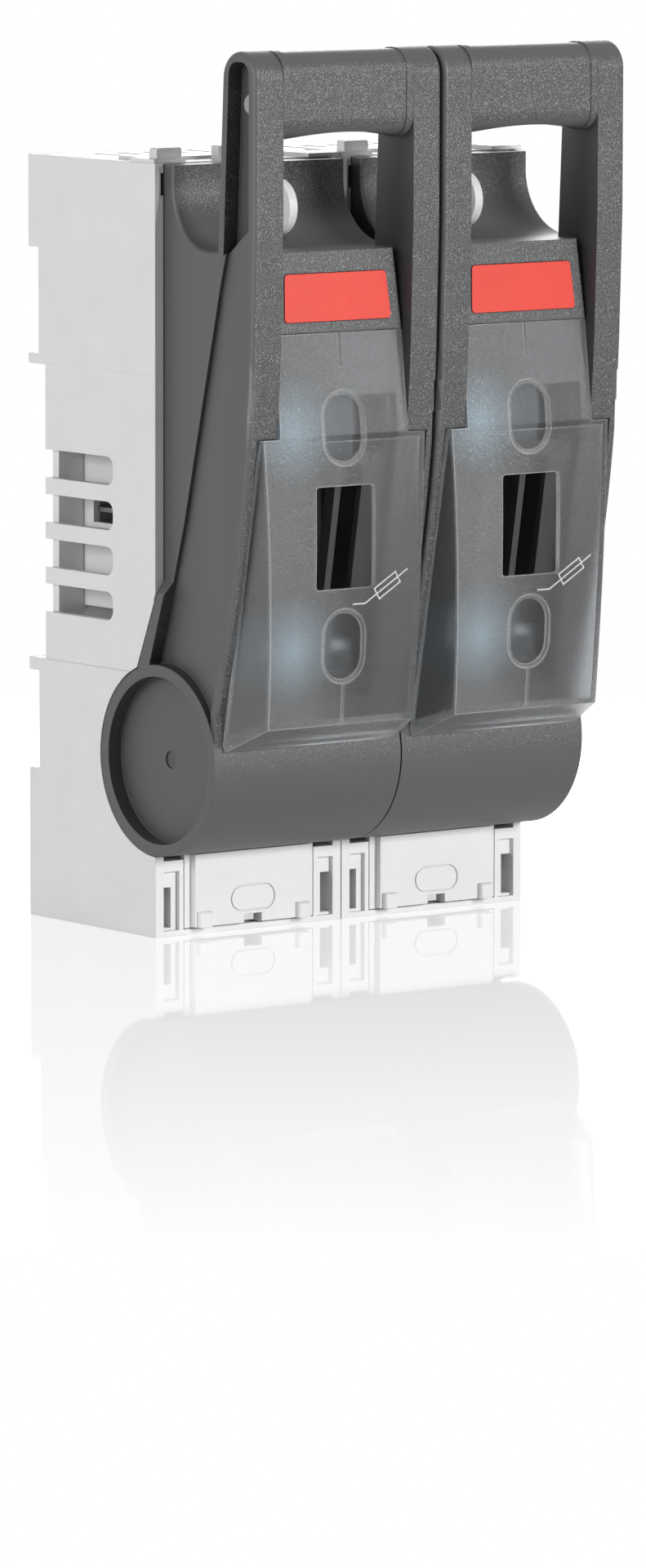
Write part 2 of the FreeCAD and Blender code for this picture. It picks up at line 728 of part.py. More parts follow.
def cheek_outline():
    """Side view of a cheek with its handle arm."""
    arm_rear = REACH - ARM_TOP_DEPTH
    bend = ARM_CORNER * (1 - math.sqrt(0.5))
    outline = Outline("side", -SKIRT_DEPTH, HINGE_HEIGHT + NOTCH_RISE)
    outline.lines((-SKIRT_DEPTH, LID_TOP), (SCOOP_WALL_FORWARD, LID_TOP))
    outline.line(SCOOP_WALL_FORWARD, SCOOP_HEIGHT)
    scoop_arc(outline, 0)
    outline.line(REACH - ARM_FOOT_DEPTH, LEDGE_HEIGHT)
    outline.line(arm_rear, HANDLE_TOP - ARM_CORNER)
    outline.arc((arm_rear + bend, HANDLE_TOP - bend), (arm_rear + ARM_CORNER, HANDLE_TOP))
    outline.line(REACH - ARM_CORNER, HANDLE_TOP)
    outline.arc((REACH - bend, HANDLE_TOP - bend), (REACH, HANDLE_TOP - ARM_CORNER))
    outline.line(REACH, LEDGE_HEIGHT + ARM_LEAN_RISE)
    outline.line(CHEEK_SHOULDER_FORWARD, CHEEK_SHOULDER_HEIGHT)
    outline.arc(
        (CHEEK_WAIST_FORWARD, CHEEK_WAIST_HEIGHT),
        (CHEEK_FOOT_FORWARD, HINGE_HEIGHT + CHEEK_FOOT_RISE),
    )
    outline.line(FRAME_FOOT_FORWARD, FRAME_FOOT_HEIGHT)
    outline.line(*on_circle(DISC_RADIUS - PAST, 0))
    outline.line(HINGE_FORWARD, HINGE_HEIGHT)
    outline.line(*on_circle(DISC_RADIUS, CHEEK_REAR_ANGLE))
    return outline


def cheek():
    """Right cheek and arm as a thick plate with rounded outer front edges."""
    plate = cheek_outline().prism(ARM_INNER, LID_HALF)
    front_edges = []
    for edge in plate.Edges:
        box = edge.BoundBox
        outer = box.XMin > LID_HALF - TOUCH
        in_front = box.YMax < TOUCH - CHEEK_FOOT_FORWARD
        if outer and in_front and box.ZMin > HINGE_HEIGHT + CHEEK_FOOT_RISE - TOUCH:
            front_edges.append(edge)
    return plate.makeFillet(ARM_EDGE_RADIUS, front_edges)


def trunk():
    """Head, front wall and drum between the cheeks, as a solid to be hollowed."""
    outline = Outline("side", -SKIRT_DEPTH, HINGE_HEIGHT + NOTCH_RISE)
    outline.lines((-SKIRT_DEPTH, LID_TOP), (SCOOP_WALL_FORWARD, LID_TOP))
    outline.line(SCOOP_WALL_FORWARD, SCOOP_HEIGHT)
    scoop_arc(outline, 0)
    outline.lines((HEAD_TOP_FORWARD, LEDGE_HEIGHT), (HEAD_FOOT_FORWARD, HEAD_BOTTOM))
    outline.line(HEAD_FOOT_FORWARD - COVER_STEP, HEAD_BOTTOM)
    outline.line(FRAME_SHOULDER_FORWARD, SHOULDER_HEIGHT)
    outline.line(FRAME_FOOT_FORWARD, FRAME_FOOT_HEIGHT)
    middle = (DRUM_TOP_ANGLE + DRUM_TAIL_ANGLE) / 2
    tail = DRUM_TAIL_ANGLE - DRUM_INNER_LEAD
    outline.arc(on_circle(DISC_RADIUS, middle), on_circle(DISC_RADIUS, tail))
    outline.line(HINGE_FORWARD, HINGE_HEIGHT)
    outline.line(*on_circle(DISC_RADIUS, CHEEK_REAR_ANGLE))
    half = LID_HALF - CHEEK_RIM
    return outline.prism(-half, half)


def lid_hollow():
    """Inside of the lid, open to the rear."""
    inner = DISC_RADIUS - DRUM_WALL
    behind = -HOUSING_DEPTH
    outline = Outline("side", behind, LID_TOP - LID_WALL)
    outline.line(SCOOP_WALL_FORWARD - LID_WALL, LID_TOP - LID_WALL)
    outline.line(SCOOP_WALL_FORWARD - LID_WALL, SCOOP_HEIGHT)
    scoop_arc(outline, LID_WALL)
    outline.line(HEAD_TOP_FORWARD - LID_WALL, LEDGE_HEIGHT - LID_WALL)
    outline.line(HEAD_FOOT_FORWARD - LID_WALL, HEAD_BOTTOM + LID_WALL)
    outline.line(HEAD_FOOT_FORWARD - COVER_STEP - LID_WALL, HEAD_BOTTOM + LID_WALL)
    outline.line(FRAME_SHOULDER_FORWARD - LID_WALL, SHOULDER_HEIGHT)
    outline.line(*on_circle(inner, DRUM_TOP_ANGLE + DRUM_INNER_LEAD))
    middle = (DRUM_TOP_ANGLE + DRUM_TAIL_ANGLE) / 2
    outline.arc(on_circle(inner, middle), on_circle(inner, DRUM_TAIL_ANGLE))
    outline.line(*on_circle(DISC_RADIUS + FAR_PAST, DRUM_TAIL_ANGLE))
    outline.line(behind, HINGE_HEIGHT - DISC_RADIUS - 2 * FAR_PAST)
    return outline.prism(-LID_HALF, LID_HALF).common(lid_plan(LID_WALL))


def cover_bay():
    """Space in front of the lid's wall that the window cover takes below the shoulders."""
    outline = Outline("side", FRAME_FOOT_FORWARD, FRAME_FOOT_HEIGHT)
    front = REACH + FAR_PAST
    outline.lines((FRAME_SHOULDER_FORWARD, SHOULDER_HEIGHT), (front, SHOULDER_HEIGHT))
    outline.line(front, FRAME_FOOT_HEIGHT)
    half = LID_HALF - CHEEK_RIM
    return outline.prism(-half, half)


def head_flanks():
    """Wedges beside the head, between its leaning edges and the arms."""
    outline = Outline("front", HEAD_TOP_HALF, LEDGE_HEIGHT + PAST)
    outline.lines((HEAD_FOOT_HALF, HEAD_BOTTOM), (ARM_INNER, HEAD_BOTTOM))
    outline.line(ARM_INNER, LEDGE_HEIGHT + PAST)
    return both_sides(outline.prism(HEAD_TOP_FORWARD - HEAD_FLANK_DEPTH, REACH + PAST))


def arm_channel():
    """Channel in the outer side of the right arm, round at the top, with a slanted foot."""
    rear_top = REACH - ARM_TOP_DEPTH + CHANNEL_REAR_FLANGE
    rear_foot = REACH - ARM_FOOT_DEPTH + CHANNEL_REAR_FLANGE
    front = REACH - CHANNEL_FRONT_FLANGE
    top = HANDLE_TOP - CHANNEL_FRONT_FLANGE
    bend = CHANNEL_CORNER * (1 - math.sqrt(0.5))
    outline = Outline("side", rear_foot, LEDGE_HEIGHT - PAST)
    outline.line(rear_top, top - CHANNEL_CORNER)
    outline.arc((rear_top + bend, top - bend), (rear_top + CHANNEL_CORNER, top))
    outline.line(front - CHANNEL_CORNER, top)
    outline.arc((front - bend, top - bend), (front, top - CHANNEL_CORNER))
    outline.line(front, LEDGE_HEIGHT + ARM_LEAN_RISE)
    return outline.prism(LID_HALF - CHANNEL_DEPTH, LID_HALF + PAST)


def cheek_pocket():
    """Shallow pocket in the right cheek, from the channel's foot down to the hinge disc."""
    front_foot = (CHEEK_FOOT_FORWARD - POCKET_RIM, HINGE_HEIGHT + CHEEK_FOOT_RISE)
    outline = Outline("side", POCKET_FOOT_FORWARD, HINGE_HEIGHT + POCKET_FOOT_RISE)
    outline.line(POCKET_BEND_FORWARD, HINGE_HEIGHT + POCKET_BEND_RISE)
    outline.line(POCKET_TOP_FORWARD, LEDGE_HEIGHT)
    outline.line(POCKET_TOP_FORWARD, LEDGE_HEIGHT + ARM_LEAN_RISE)
    outline.line(REACH - CHANNEL_FRONT_FLANGE, LEDGE_HEIGHT + ARM_LEAN_RISE)
    outline.line(CHEEK_SHOULDER_FORWARD - POCKET_RIM, CHEEK_SHOULDER_HEIGHT)
    outline.arc((CHEEK_WAIST_FORWARD - POCKET_RIM, CHEEK_WAIST_HEIGHT), front_foot)
    outline.line(*on_circle(DISC_RADIUS - PAST, POCKET_LOW_ANGLE))
    outline.line(HINGE_FORWARD, HINGE_HEIGHT)
    return outline.prism(0, LID_HALF + PAST).cut(lid_plan(POCKET_DEPTH))


def notch_band():
    """Band of the right cheek, level with the side wall where the wall's notch leaves it free."""
    reach = DISC_RADIUS + DISC_CLEARANCE
    foot, foot_height = on_circle(reach, CHEEK_REAR_ANGLE)
    corner = HINGE_HEIGHT + NOTCH_RISE
    slope = (POCKET_BEND_FORWARD - POCKET_FOOT_FORWARD) / (POCKET_BEND_RISE - POCKET_FOOT_RISE)
    top = corner + BAND_RAMP
    front_top = POCKET_FOOT_FORWARD + slope * (top - HINGE_HEIGHT - POCKET_FOOT_RISE)
    outline = Outline("side", BAND_CLEARANCE, corner).line(BAND_CLEARANCE, top)
    outline.line(front_top, top)
    outline.line(POCKET_FOOT_FORWARD, HINGE_HEIGHT + POCKET_FOOT_RISE)
    outline.line(HINGE_FORWARD, HINGE_HEIGHT)
    outline.line(foot + BAND_CLEARANCE, foot_height)
    ramp = Outline("front", SKIRT_HALF, top).line(LID_HALF, corner)
    ramp.lines((LID_HALF + PAST, corner), (LID_HALF + PAST, top + PAST), (SKIRT_HALF, top + PAST))
    band = outline.prism(SKIRT_HALF - LID_WALL / 2, LID_HALF)
    return band.cut(ramp.prism(0, REACH))


def hinge_disc():
    """Right disc of the lid: a recessed cup with a bore for the hinge pin."""
    cup = rod_across(HINGE_FORWARD, HINGE_HEIGHT, DISC_RADIUS, DISC_INNER_FACE, DISC_FACE)
    dish = rod_across(
        HINGE_FORWARD, HINGE_HEIGHT, DISC_RADIUS - DISC_RIM, DISC_FLOOR_FACE, DISC_FACE + PAST
    )
    bore = rod_across(HINGE_FORWARD, HINGE_HEIGHT, PIN_RADIUS + RUNNING_CLEARANCE, 0, HALF)
    return cup.cut([dish, bore])


def disc_room():
    """Space of the right disc's dish, cleared before the disc is added."""
    return rod_across(
        HINGE_FORWARD, HINGE_HEIGHT, DISC_RADIUS - DISC_RIM, DISC_INNER_FACE, HALF
    )


def label_prism(grow):
    """Block in the shape of the label, wider at the foot, with round corners."""
    top = LEDGE_HEIGHT - LABEL_TOP_DROP + grow
    low = LEDGE_HEIGHT - LABEL_TOP_DROP - LABEL_HEIGHT - grow
    top_half = LABEL_TOP_HALF + grow
    low_half = LABEL_FOOT_HALF + grow
    outline = Outline("front", -low_half, low).line(low_half, low)
    prism = outline.lines((top_half, top), (-top_half, top)).prism(0, REACH)
    corners = [edge for edge in prism.Edges if edge.BoundBox.YLength > REACH / 2]
    return prism.makeFillet(LABEL_CORNER + grow, corners)


def head_slab(rear, front):
    """Slab along the leaning head, between two distances from its front."""
    high = LEDGE_HEIGHT + PAST
    low = HEAD_BOTTOM - PAST
    outline = Outline("side", head_forward(low) + rear, low)
    outline.lines((head_forward(low) + front, low), (head_forward(high) + front, high))
    outline.line(head_forward(high) + rear, high)
    return outline.prism(-LID_HALF, LID_HALF)


def tab_slot():
    """Slot in the scoop for the lock tab."""
    half = TAB_THICKNESS / 2 + TAB_CLEARANCE
    middle = LEDGE_HEIGHT + TAB_RISE
    return block(-half, half, 0, TAB_SLOT_FORWARD, middle - TAB_SLOT_DROP, middle + TAB_SLOT_RISE)


def rounded_scoop(solid):
    """Rounds the two outer edges of the scoop, between its rear wall and the ledge."""
    edges = []
    for edge in solid.Edges:
        ends = [(-vertex.Y, vertex.Z) for vertex in edge.Vertexes]
        at_wall = any(
            abs(forward - SCOOP_WALL_FORWARD) < TOUCH and abs(height - SCOOP_HEIGHT) < TOUCH
            for forward, height in ends
        )
        at_ledge = any(abs(height - LEDGE_HEIGHT) < TOUCH for _, height in ends)
        if at_wall and at_ledge:
            edges.append(edge)
    return solid.makeFillet(SCOOP_EDGE_RADIUS, edges)


def lid_shell():
    solid = joined([cheek(), mirrored(cheek()), trunk()]).common(lid_plan(0))
    solid = rounded_scoop(solid.removeSplitter())
    band = notch_band()
    solid = solid.fuse([band, mirrored(band)]).removeSplitter()
    opening = block(
        -FRAME_OPENING_HALF, FRAME_OPENING_HALF, HINGE_FORWARD + DISC_RADIUS / 2, REACH + PAST,
        FRAME_OPENING_LOW, FRAME_OPENING_HIGH,
    )
    label_seat = label_prism(LABEL_CLEARANCE).common(head_slab(-LABEL_RECESS, FAR_PAST))
    solid = solid.cut([lid_hollow(), cover_bay(), head_flanks(), opening])
    solid = solid.cut([both_sides(arm_channel()), both_sides(cheek_pocket())])
    solid = solid.cut([label_seat, tab_slot(), both_sides(disc_room())])
    pin_holes = rod_across(
        REACH - GRIP_PIN_SETBACK, HANDLE_TOP - GRIP_PIN_DROP,
        GRIP_PIN_RADIUS + RUNNING_CLEARANCE, -LID_HALF, LID_HALF,
    )
    disc = hinge_disc()
    return joined([solid.cut(pin_holes), disc, mirrored(disc)])


# Pieces on the lid


def grip_section(grow):
    rear = REACH - GRIP_DEPTH - grow
    low = HANDLE_TOP - GRIP_HEIGHT - grow
    return rounded_rectangle(
        "side", rear, REACH - GRIP_COLLAR_STEP + grow, low, HANDLE_TOP - GRIP_COLLAR_STEP + grow,
        GRIP_CORNER + grow,
    )


def handle_grip():
    """Hollow grip bar with an arched underside and a collar at each end."""
    half = ARM_INNER - GRIP_END_CLEARANCE
    waist = half - GRIP_COLLAR
    bar = grip_section(0).prism(-half, half)
    radius = (waist ** 2 + GRIP_ARCH ** 2) / (2 * GRIP_ARCH)
    low = HANDLE_TOP - GRIP_HEIGHT
    front = REACH + FAR_PAST
    arch = rod_forward(0, low + GRIP_ARCH - radius, radius, 0, front)
    arch = arch.common(block(-waist, waist, 0, front, low - FAR_PAST, HANDLE_TOP))
    collar = grip_section(GRIP_COLLAR_STEP).prism(waist, half)
    hollow = grip_section(-GRIP_WALL - GRIP_ARCH / 2).prism(-waist, waist)
    bore = rod_across(
        REACH - GRIP_PIN_SETBACK, HANDLE_TOP - GRIP_PIN_DROP,
        GRIP_PIN_RADIUS + RUNNING_CLEARANCE, -LID_HALF, LID_HALF,
    )
    whole = bar.cut(arch).fuse([collar, mirrored(collar)]).removeSplitter()
    return whole.cut([hollow, bore])


def grip_pin():
    """Pin through both arms and the grip, with chamfered ends in the channels."""
    half = LID_HALF - CHANNEL_DEPTH + GRIP_PIN_STICKOUT
    pin = rod_across(
        REACH - GRIP_PIN_SETBACK, HANDLE_TOP - GRIP_PIN_DROP, GRIP_PIN_RADIUS, -half, half
    )
    ends = [edge for edge in pin.Edges if edge.BoundBox.XLength < TOUCH]
    return pin.makeChamfer(GRIP_PIN_CHAMFER, ends)


def cover_half(forward, height):
    """Half width of the slanted cover sides, a plane through three named places."""
    foot = HINGE_HEIGHT + COVER_FOOT_RISE
    rear_foot = HINGE_HEIGHT + COVER_REAR_FOOT_RISE
    drop = SHOULDER_HEIGHT - foot
    rear_drop = SHOULDER_HEIGHT - rear_foot
    step = COVER_SHOULDER_FORWARD - COVER_FOOT_FORWARD
    rear_step = COVER_SHOULDER_FORWARD - COVER_REAR_FOOT_FORWARD
    narrow = COVER_FRONT_HALF_FOOT - COVER_FRONT_HALF_TOP
    widen = COVER_REAR_HALF_FOOT - COVER_FRONT_HALF_TOP
    per_forward = (narrow * rear_drop - widen * drop) / (rear_step * drop - step * rear_drop)
    per_height = -(narrow + per_forward * step) / drop
    return (
        COVER_FRONT_HALF_TOP
        + per_forward * (forward - COVER_SHOULDER_FORWARD)
        + per_height * (height - SHOULDER_HEIGHT)
    )


def cover_sides(inset):
    """Solid between the slanted side planes of the cover, below the shoulders."""
    wires = []
    foot = FRAME_FOOT_HEIGHT - 2 * FAR_PAST
    for height in (foot, SHOULDER_HEIGHT - inset - COVER_CLEARANCE):
        corners = []
        for forward in (FRAME_FOOT_FORWARD - 2 * FAR_PAST, REACH + FAR_PAST):
            corners.append((cover_half(forward, height) - inset, forward))
        (rear_half, rear), (front_half, front) = corners
        wires.append(Part.makePolygon([
            V(-rear_half, -rear, height), V(rear_half, -rear, height),
            V(front_half, -front, height), V(-front_half, -front, height),
            V(-rear_half, -rear, height),
        ]))
    return Part.makeLoft(wires, True, True)


def cover_body(inset, rear_grow):
    """Side-view solid of the cover between its bulged front and the lid's wall."""
    top = HEAD_BOTTOM - COVER_CLEARANCE
    foot = HINGE_HEIGHT + COVER_FOOT_RISE + inset
    rear_gap = COVER_CLEARANCE - rear_grow
    rear_foot = (COVER_REAR_FOOT_FORWARD - rear_grow, HINGE_HEIGHT + COVER_REAR_FOOT_RISE + inset)
    outline = Outline("side", head_forward(top) - inset, top)
    outline.line(COVER_SHOULDER_FORWARD - inset, SHOULDER_HEIGHT)
    outline.arc(
        (COVER_BULGE_FORWARD - inset, (SHOULDER_HEIGHT + foot) / 2),
        (COVER_FOOT_FORWARD - inset, foot),
    )
    outline.line(*rear_foot)
    lip_top = rear_foot[1] + COVER_REAR_LIP
    outline.line(frame_forward(lip_top) + rear_gap, lip_top)
    outline.line(FRAME_SHOULDER_FORWARD + rear_gap, SHOULDER_HEIGHT)
    outline.line(frame_forward(top) + rear_gap, top)
    return outline.prism(-LID_HALF, LID_HALF)


def cover_skin(depth):
    """Everything in front of a depth below the cover's front."""
    return cover_body(-FAR_PAST, 0).cut(cover_body(depth, REACH))


def oval_block(middle, rim):
    """Upright stadium through the cover's front, its rim this much inside the full size."""
    half_width = OVAL_WIDTH / 2 - rim
    half_height = OVAL_HEIGHT / 2 - rim
    oval = rounded_rectangle(
        "front", -half_width, half_width, middle - half_height, middle + half_height, half_width
    )
    return oval.prism(FRAME_FOOT_FORWARD, REACH + FAR_PAST)


def window_cover():
    """Frosted cover: plate between the arms, hood below the shoulders, window and ovals."""
    top = HEAD_BOTTOM - COVER_CLEARANCE
    front = REACH + FAR_PAST
    low_half = ARM_INNER - COVER_ARM_CLEARANCE
    strip = Outline("front", -low_half, SHOULDER_HEIGHT - PAST)
    strip.lines((low_half, SHOULDER_HEIGHT - PAST), (HEAD_FOOT_HALF, top), (-HEAD_FOOT_HALF, top))
    plate = cover_body(0, 0).common(strip.prism(0, front))
    hood = cover_body(0, 0).common(cover_sides(0))
    inside = cover_body(COVER_WALL, 2 * FAR_PAST).common(cover_sides(COVER_WALL))
    body = plate.fuse(hood).cut(inside).removeSplitter()
    window = rounded_rectangle(
        "front", -WINDOW_HALF_WIDTH, WINDOW_HALF_WIDTH, FUSE_CENTRE - WINDOW_HEIGHT / 2,
        FUSE_CENTRE + WINDOW_HEIGHT / 2, WINDOW_CORNER,
    )
    cuts = [window.prism(FRAME_FOOT_FORWARD, front)]
    for middle in (FUSE_CENTRE - OVAL_SPACING / 2, FUSE_CENTRE + OVAL_SPACING / 2):
        cuts.append(oval_block(middle, 0).common(cover_skin(OVAL_RIM_DEPTH)))
        cuts.append(oval_block(middle, OVAL_RIM).common(cover_skin(OVAL_DEPTH)))
    groove = block(
        -GROOVE_WIDTH / 2, GROOVE_WIDTH / 2, FRAME_FOOT_FORWARD, front, top - GROOVE_LENGTH, top + PAST
    )
    cuts.append(groove.common(cover_skin(GROOVE_DEPTH)))
    ridge = block(
        -RIDGE_WIDTH / 2, RIDGE_WIDTH / 2, FRAME_FOOT_FORWARD, front,
        HINGE_HEIGHT + COVER_FOOT_RISE + COVER_WALL / 2,
        FUSE_CENTRE - OVAL_SPACING / 2 - OVAL_HEIGHT / 2,
    )
    ridge = ridge.common(cover_body(-RIDGE_HEIGHT, 0)).common(cover_skin(COVER_WALL / 2))
    return joined([body.cut(cuts), ridge])


def label_plate():
    """Plain plate in the head's recess."""
    front = LABEL_THICKNESS - LABEL_RECESS
    return label_prism(0).common(head_slab(-LABEL_RECESS, front))


def lock_tab():
    """Round tab on a tongue that slides forward, with a stop at its rear end."""
    half = TAB_THICKNESS / 2
    middle = LEDGE_HEIGHT + TAB_RISE
    disc = rod_across(TAB_FORWARD, middle, TAB_RADIUS, -half, half)
    tongue = block(
        -half, half, -TAB_TONGUE_REACH, TAB_FORWARD,
        middle - TAB_TONGUE_HEIGHT / 2, middle + TAB_TONGUE_HEIGHT / 2,
    )
    stop = block(
        -TAB_STOP_HALF, TAB_STOP_HALF, -TAB_TONGUE_REACH, TAB_STOP_LENGTH - TAB_TONGUE_REACH,
        middle - TAB_TONGUE_HEIGHT / 2, middle + TAB_TONGUE_HEIGHT / 2,
    )
    return joined([disc, tongue, stop])


def carrier_front(height):
    """Front of the carrier, just behind the lid's front wall."""
    return frame_forward(height) - LID_WALL - SEAT_CLEARANCE


def carrier_outline(front_gap, depth, low, high):
    """Side view of a strip along the carrier, with a knee where it passes the shoulders."""
    heights = [low, high]
    if low < SHOULDER_HEIGHT < high:
        heights.insert(1, SHOULDER_HEIGHT)
    front = [(carrier_front(height) - front_gap, height) for height in heights]
    rear = [(forward - depth, height) for forward, height in reversed(front)]
    return Outline("side", *front[0]).lines(*front[1:]).lines(*rear)


def carrier_windows():
    """Heights of the carrier's windows: behind the cover's window and behind each oval."""
    half = CARRIER_WINDOW_HEIGHT / 2
    near = half + CARRIER_BAR
    far = near + CARRIER_END_WINDOW
    return {
        "middle": (FUSE_CENTRE - half, FUSE_CENTRE + half),
        "lower": (FUSE_CENTRE - far, FUSE_CENTRE - near),
        "upper": (FUSE_CENTRE + near, FUSE_CENTRE + far),
    }


def fuse_carrier():
    """Frame behind the window that carries the fuse-link, with a rail on each side."""
    low = HINGE_HEIGHT + CARRIER_FOOT_RISE
    high = SHOULDER_HEIGHT + CARRIER_TOP_RISE
    plate = carrier_outline(0, CARRIER_THICKNESS, low, high)
    plate = plate.prism(-CARRIER_HALF_WIDTH, CARRIER_HALF_WIDTH)
    rail = carrier_outline(0, CARRIER_RAIL_DEPTH, HINGE_HEIGHT + CARRIER_RAIL_FOOT_RISE, high)
    rail = rail.prism(CARRIER_HALF_WIDTH - CARRIER_RAIL, CARRIER_HALF_WIDTH)
    windows = []
    for name, (bottom, top) in carrier_windows().items():
        half = FRAME_OPENING_HALF - CARRIER_END_WINDOW_SIDE
        if name == "middle":
            half = CARRIER_WINDOW_HALF
        windows.append(block(-half, half, 0, REACH, bottom, top))
    bottom, top = carrier_windows()["middle"]
    rib = carrier_outline(0, CARRIER_THICKNESS * 2, bottom - PAST, top + PAST)
    rib = rib.prism(CARRIER_RIB_OFFSET, CARRIER_RIB_OFFSET + CARRIER_RIB)
    return joined([plate.cut(windows), rail, mirrored(rail), rib])


def catch_limits():
    """Height limits of the two catches, which overlap the bars round the end windows."""
    windows = carrier_windows()
    return [
        (windows[name][0] - CATCH_OVERLAP, windows[name][1] + CATCH_OVERLAP)
        for name in ("lower", "upper")
    ]


def fuse_catches():
    """Pale catches on the back of the carrier, seen through the cover beside its ovals."""
    catches = []
    for low, high in catch_limits():
        catch = carrier_outline(CARRIER_THICKNESS, CATCH_THICKNESS, low, high)
        catches.append(catch.prism(-CATCH_HALF_WIDTH, CATCH_HALF_WIDTH))
    return Part.makeCompound(catches)


def carrier_clips():
    """Two spring clips on the backs of the catches that hook the fuse-link's lugs."""
    gap = CARRIER_THICKNESS + CATCH_THICKNESS
    (_, lower_top), (upper_low, _) = catch_limits()
    clips = []
    for start, end in ((lower_top - CLIP_BASE, lower_top), (upper_low + CLIP_BASE, upper_low)):
        base = carrier_outline(gap, CLIP_THICKNESS, min(start, end), max(start, end))
        turn = math.copysign(CLIP_THICKNESS, start - end)
        rear = carrier_front(end) - gap
        arm = Outline("side", rear - CLIP_THICKNESS / 2, end).line(rear - CLIP_REACH, end)
        arm.lines((rear - CLIP_REACH, end + turn), (rear - CLIP_THICKNESS / 2, end + turn))
        half = CLIP_HALF_WIDTH
        clips.append(joined([base.prism(-half, half), arm.prism(-half, half)]))
    return Part.makeCompound(clips)


# Contacts and insulating pieces


def jaw_limb(height):
    """Right limb of a jaw in plan: straight root, pinched neck, flared mouth."""
    gap = BLADE_THICKNESS / 2
    pinch = gap - JAW_PINCH
    neck = JAW_REACH - JAW_FLARE * 2
    bend = (JAW_ROOT_FORWARD + neck) / 2
    root = gap + JAW_ROOT_OPENING
    foot = JAW_ROOT_FORWARD - BAR_THICKNESS / 4
    outline = Outline("plan", root, foot)
    outline.arc((root, bend), (pinch, neck))
    outline.line(gap + JAW_FLARE, JAW_REACH)
    outline.line(gap + JAW_FLARE + JAW_LIMB, JAW_REACH)
    outline.line(pinch + JAW_LIMB, neck)
    outline.arc((root + JAW_LIMB, bend), (root + JAW_LIMB, foot))
    return outline.prism(height - JAW_HEIGHT / 2, height + JAW_HEIGHT / 2)


def contact(jaw, pad):
    """Jaw, bent terminal bar and terminal pad, bent away from the fuse-link."""
    away = 1 if pad > jaw else -1
    half = BAR_WIDTH / 2
    root_front = JAW_ROOT_FORWARD
    root_rear = root_front - BAR_THICKNESS
    riser_rear = RISER_FORWARD - BAR_THICKNESS
    outer = jaw + away * JAW_HEIGHT / 2
    inner = jaw - away * JAW_HEIGHT / 2
    turn = outer - away * BAR_THICKNESS
    end = pad + away * PAD_END
    bar = Outline("side", root_front, inner)
    bar.lines((root_front, outer), (RISER_FORWARD, outer), (RISER_FORWARD, end))
    bar.lines((riser_rear, end), (riser_rear, turn), (root_rear, turn), (root_rear, inner))
    limb = jaw_limb(jaw)
    whole = joined([bar.prism(-half, half), limb, mirrored(limb)])
    holes = [rod_forward(0, pad, PAD_HOLE_RADIUS, riser_rear - PAST, RISER_FORWARD + PAST)]
    for across in (-SCREW_OFFSET, SCREW_OFFSET):
        holes.append(rod_forward(
            across, jaw, SCREW_RADIUS + RUNNING_CLEARANCE, root_rear - PAST, root_front + PAST
        ))
    return whole.cut(holes)


def jaw_springs(jaw):
    """Two steel leaves that press the limbs together, each with a screwed foot."""
    gap = BLADE_THICKNESS / 2
    outside = gap + JAW_ROOT_OPENING + JAW_LIMB + JAW_SPRING_CLEARANCE
    neck = JAW_REACH - JAW_FLARE * 2
    neck_outside = gap - JAW_PINCH + JAW_LIMB + JAW_SPRING_CLEARANCE
    foot = outside + JAW_SPRING_THICKNESS + JAW_SPRING_FOOT
    start = JAW_ROOT_FORWARD
    bend = start + JAW_SPRING_BEND
    top = start + JAW_SPRING_THICKNESS
    outline = Outline("plan", outside, start).line(outside, bend)
    outline.line(neck_outside, neck).line(neck_outside + JAW_SPRING_THICKNESS, neck)
    outline.line(outside + JAW_SPRING_THICKNESS, bend)
    outline.line(outside + JAW_SPRING_THICKNESS, top).line(foot, top).line(foot, start)
    leaf = outline.prism(jaw - JAW_SPRING_HEIGHT / 2, jaw + JAW_SPRING_HEIGHT / 2)
    hole = rod_forward(
        SCREW_OFFSET, jaw, SCREW_RADIUS + RUNNING_CLEARANCE, start - PAST, top + PAST
    )
    leaf = leaf.cut(hole)
    return Part.makeCompound([leaf, mirrored(leaf)])


def contact_block(jaw, away):
    """Insulating block round a jaw: side walls on the back wall, a blade slot on the fuse's side."""
    half = BLOCK_HALF_WIDTH
    low = jaw - BLOCK_HEIGHT / 2
    high = jaw + BLOCK_HEIGHT / 2
    rear = BACK_INNER + SEAT_CLEARANCE
    back_front = JAW_ROOT_FORWARD - BAR_THICKNESS - BAR_CLEARANCE
    back_rear = back_front - BLOCK_BACK
    wall = block(half - BLOCK_WALL, half, rear, BLOCK_FORWARD, low, high)
    back = block(-half, half, back_rear, back_front, low, high)
    caps = [
        block(-half, half, back_front, BLOCK_FORWARD, low, low + BLOCK_WALL),
        block(-half, half, back_front, BLOCK_FORWARD, high - BLOCK_WALL, high),
    ]
    fuse_side = low if away > 0 else high - BLOCK_WALL
    slot = block(
        -BLOCK_SLOT_HALF, BLOCK_SLOT_HALF, JAW_ROOT_FORWARD, BLOCK_FORWARD + PAST,
        fuse_side - PAST, fuse_side + BLOCK_WALL + PAST,
    )
    run = jaw + away * (JAW_HEIGHT / 2 - BAR_THICKNESS / 2)
    room = BAR_THICKNESS / 2 + BAR_SLOT_CLEARANCE
    side = BAR_WIDTH / 2 + BAR_SLOT_CLEARANCE
    bar_slot = block(-side, side, back_rear - PAST, back_front + PAST, run - room, run + room)
    screws = [
        rod_forward(across, jaw, SCREW_RADIUS + RUNNING_CLEARANCE, back_rear - PAST, 0)
        for across in (-SCREW_OFFSET, SCREW_OFFSET)
    ]
    whole = joined([back, wall, mirrored(wall)] + caps)
    return whole.cut([slot, bar_slot] + screws)


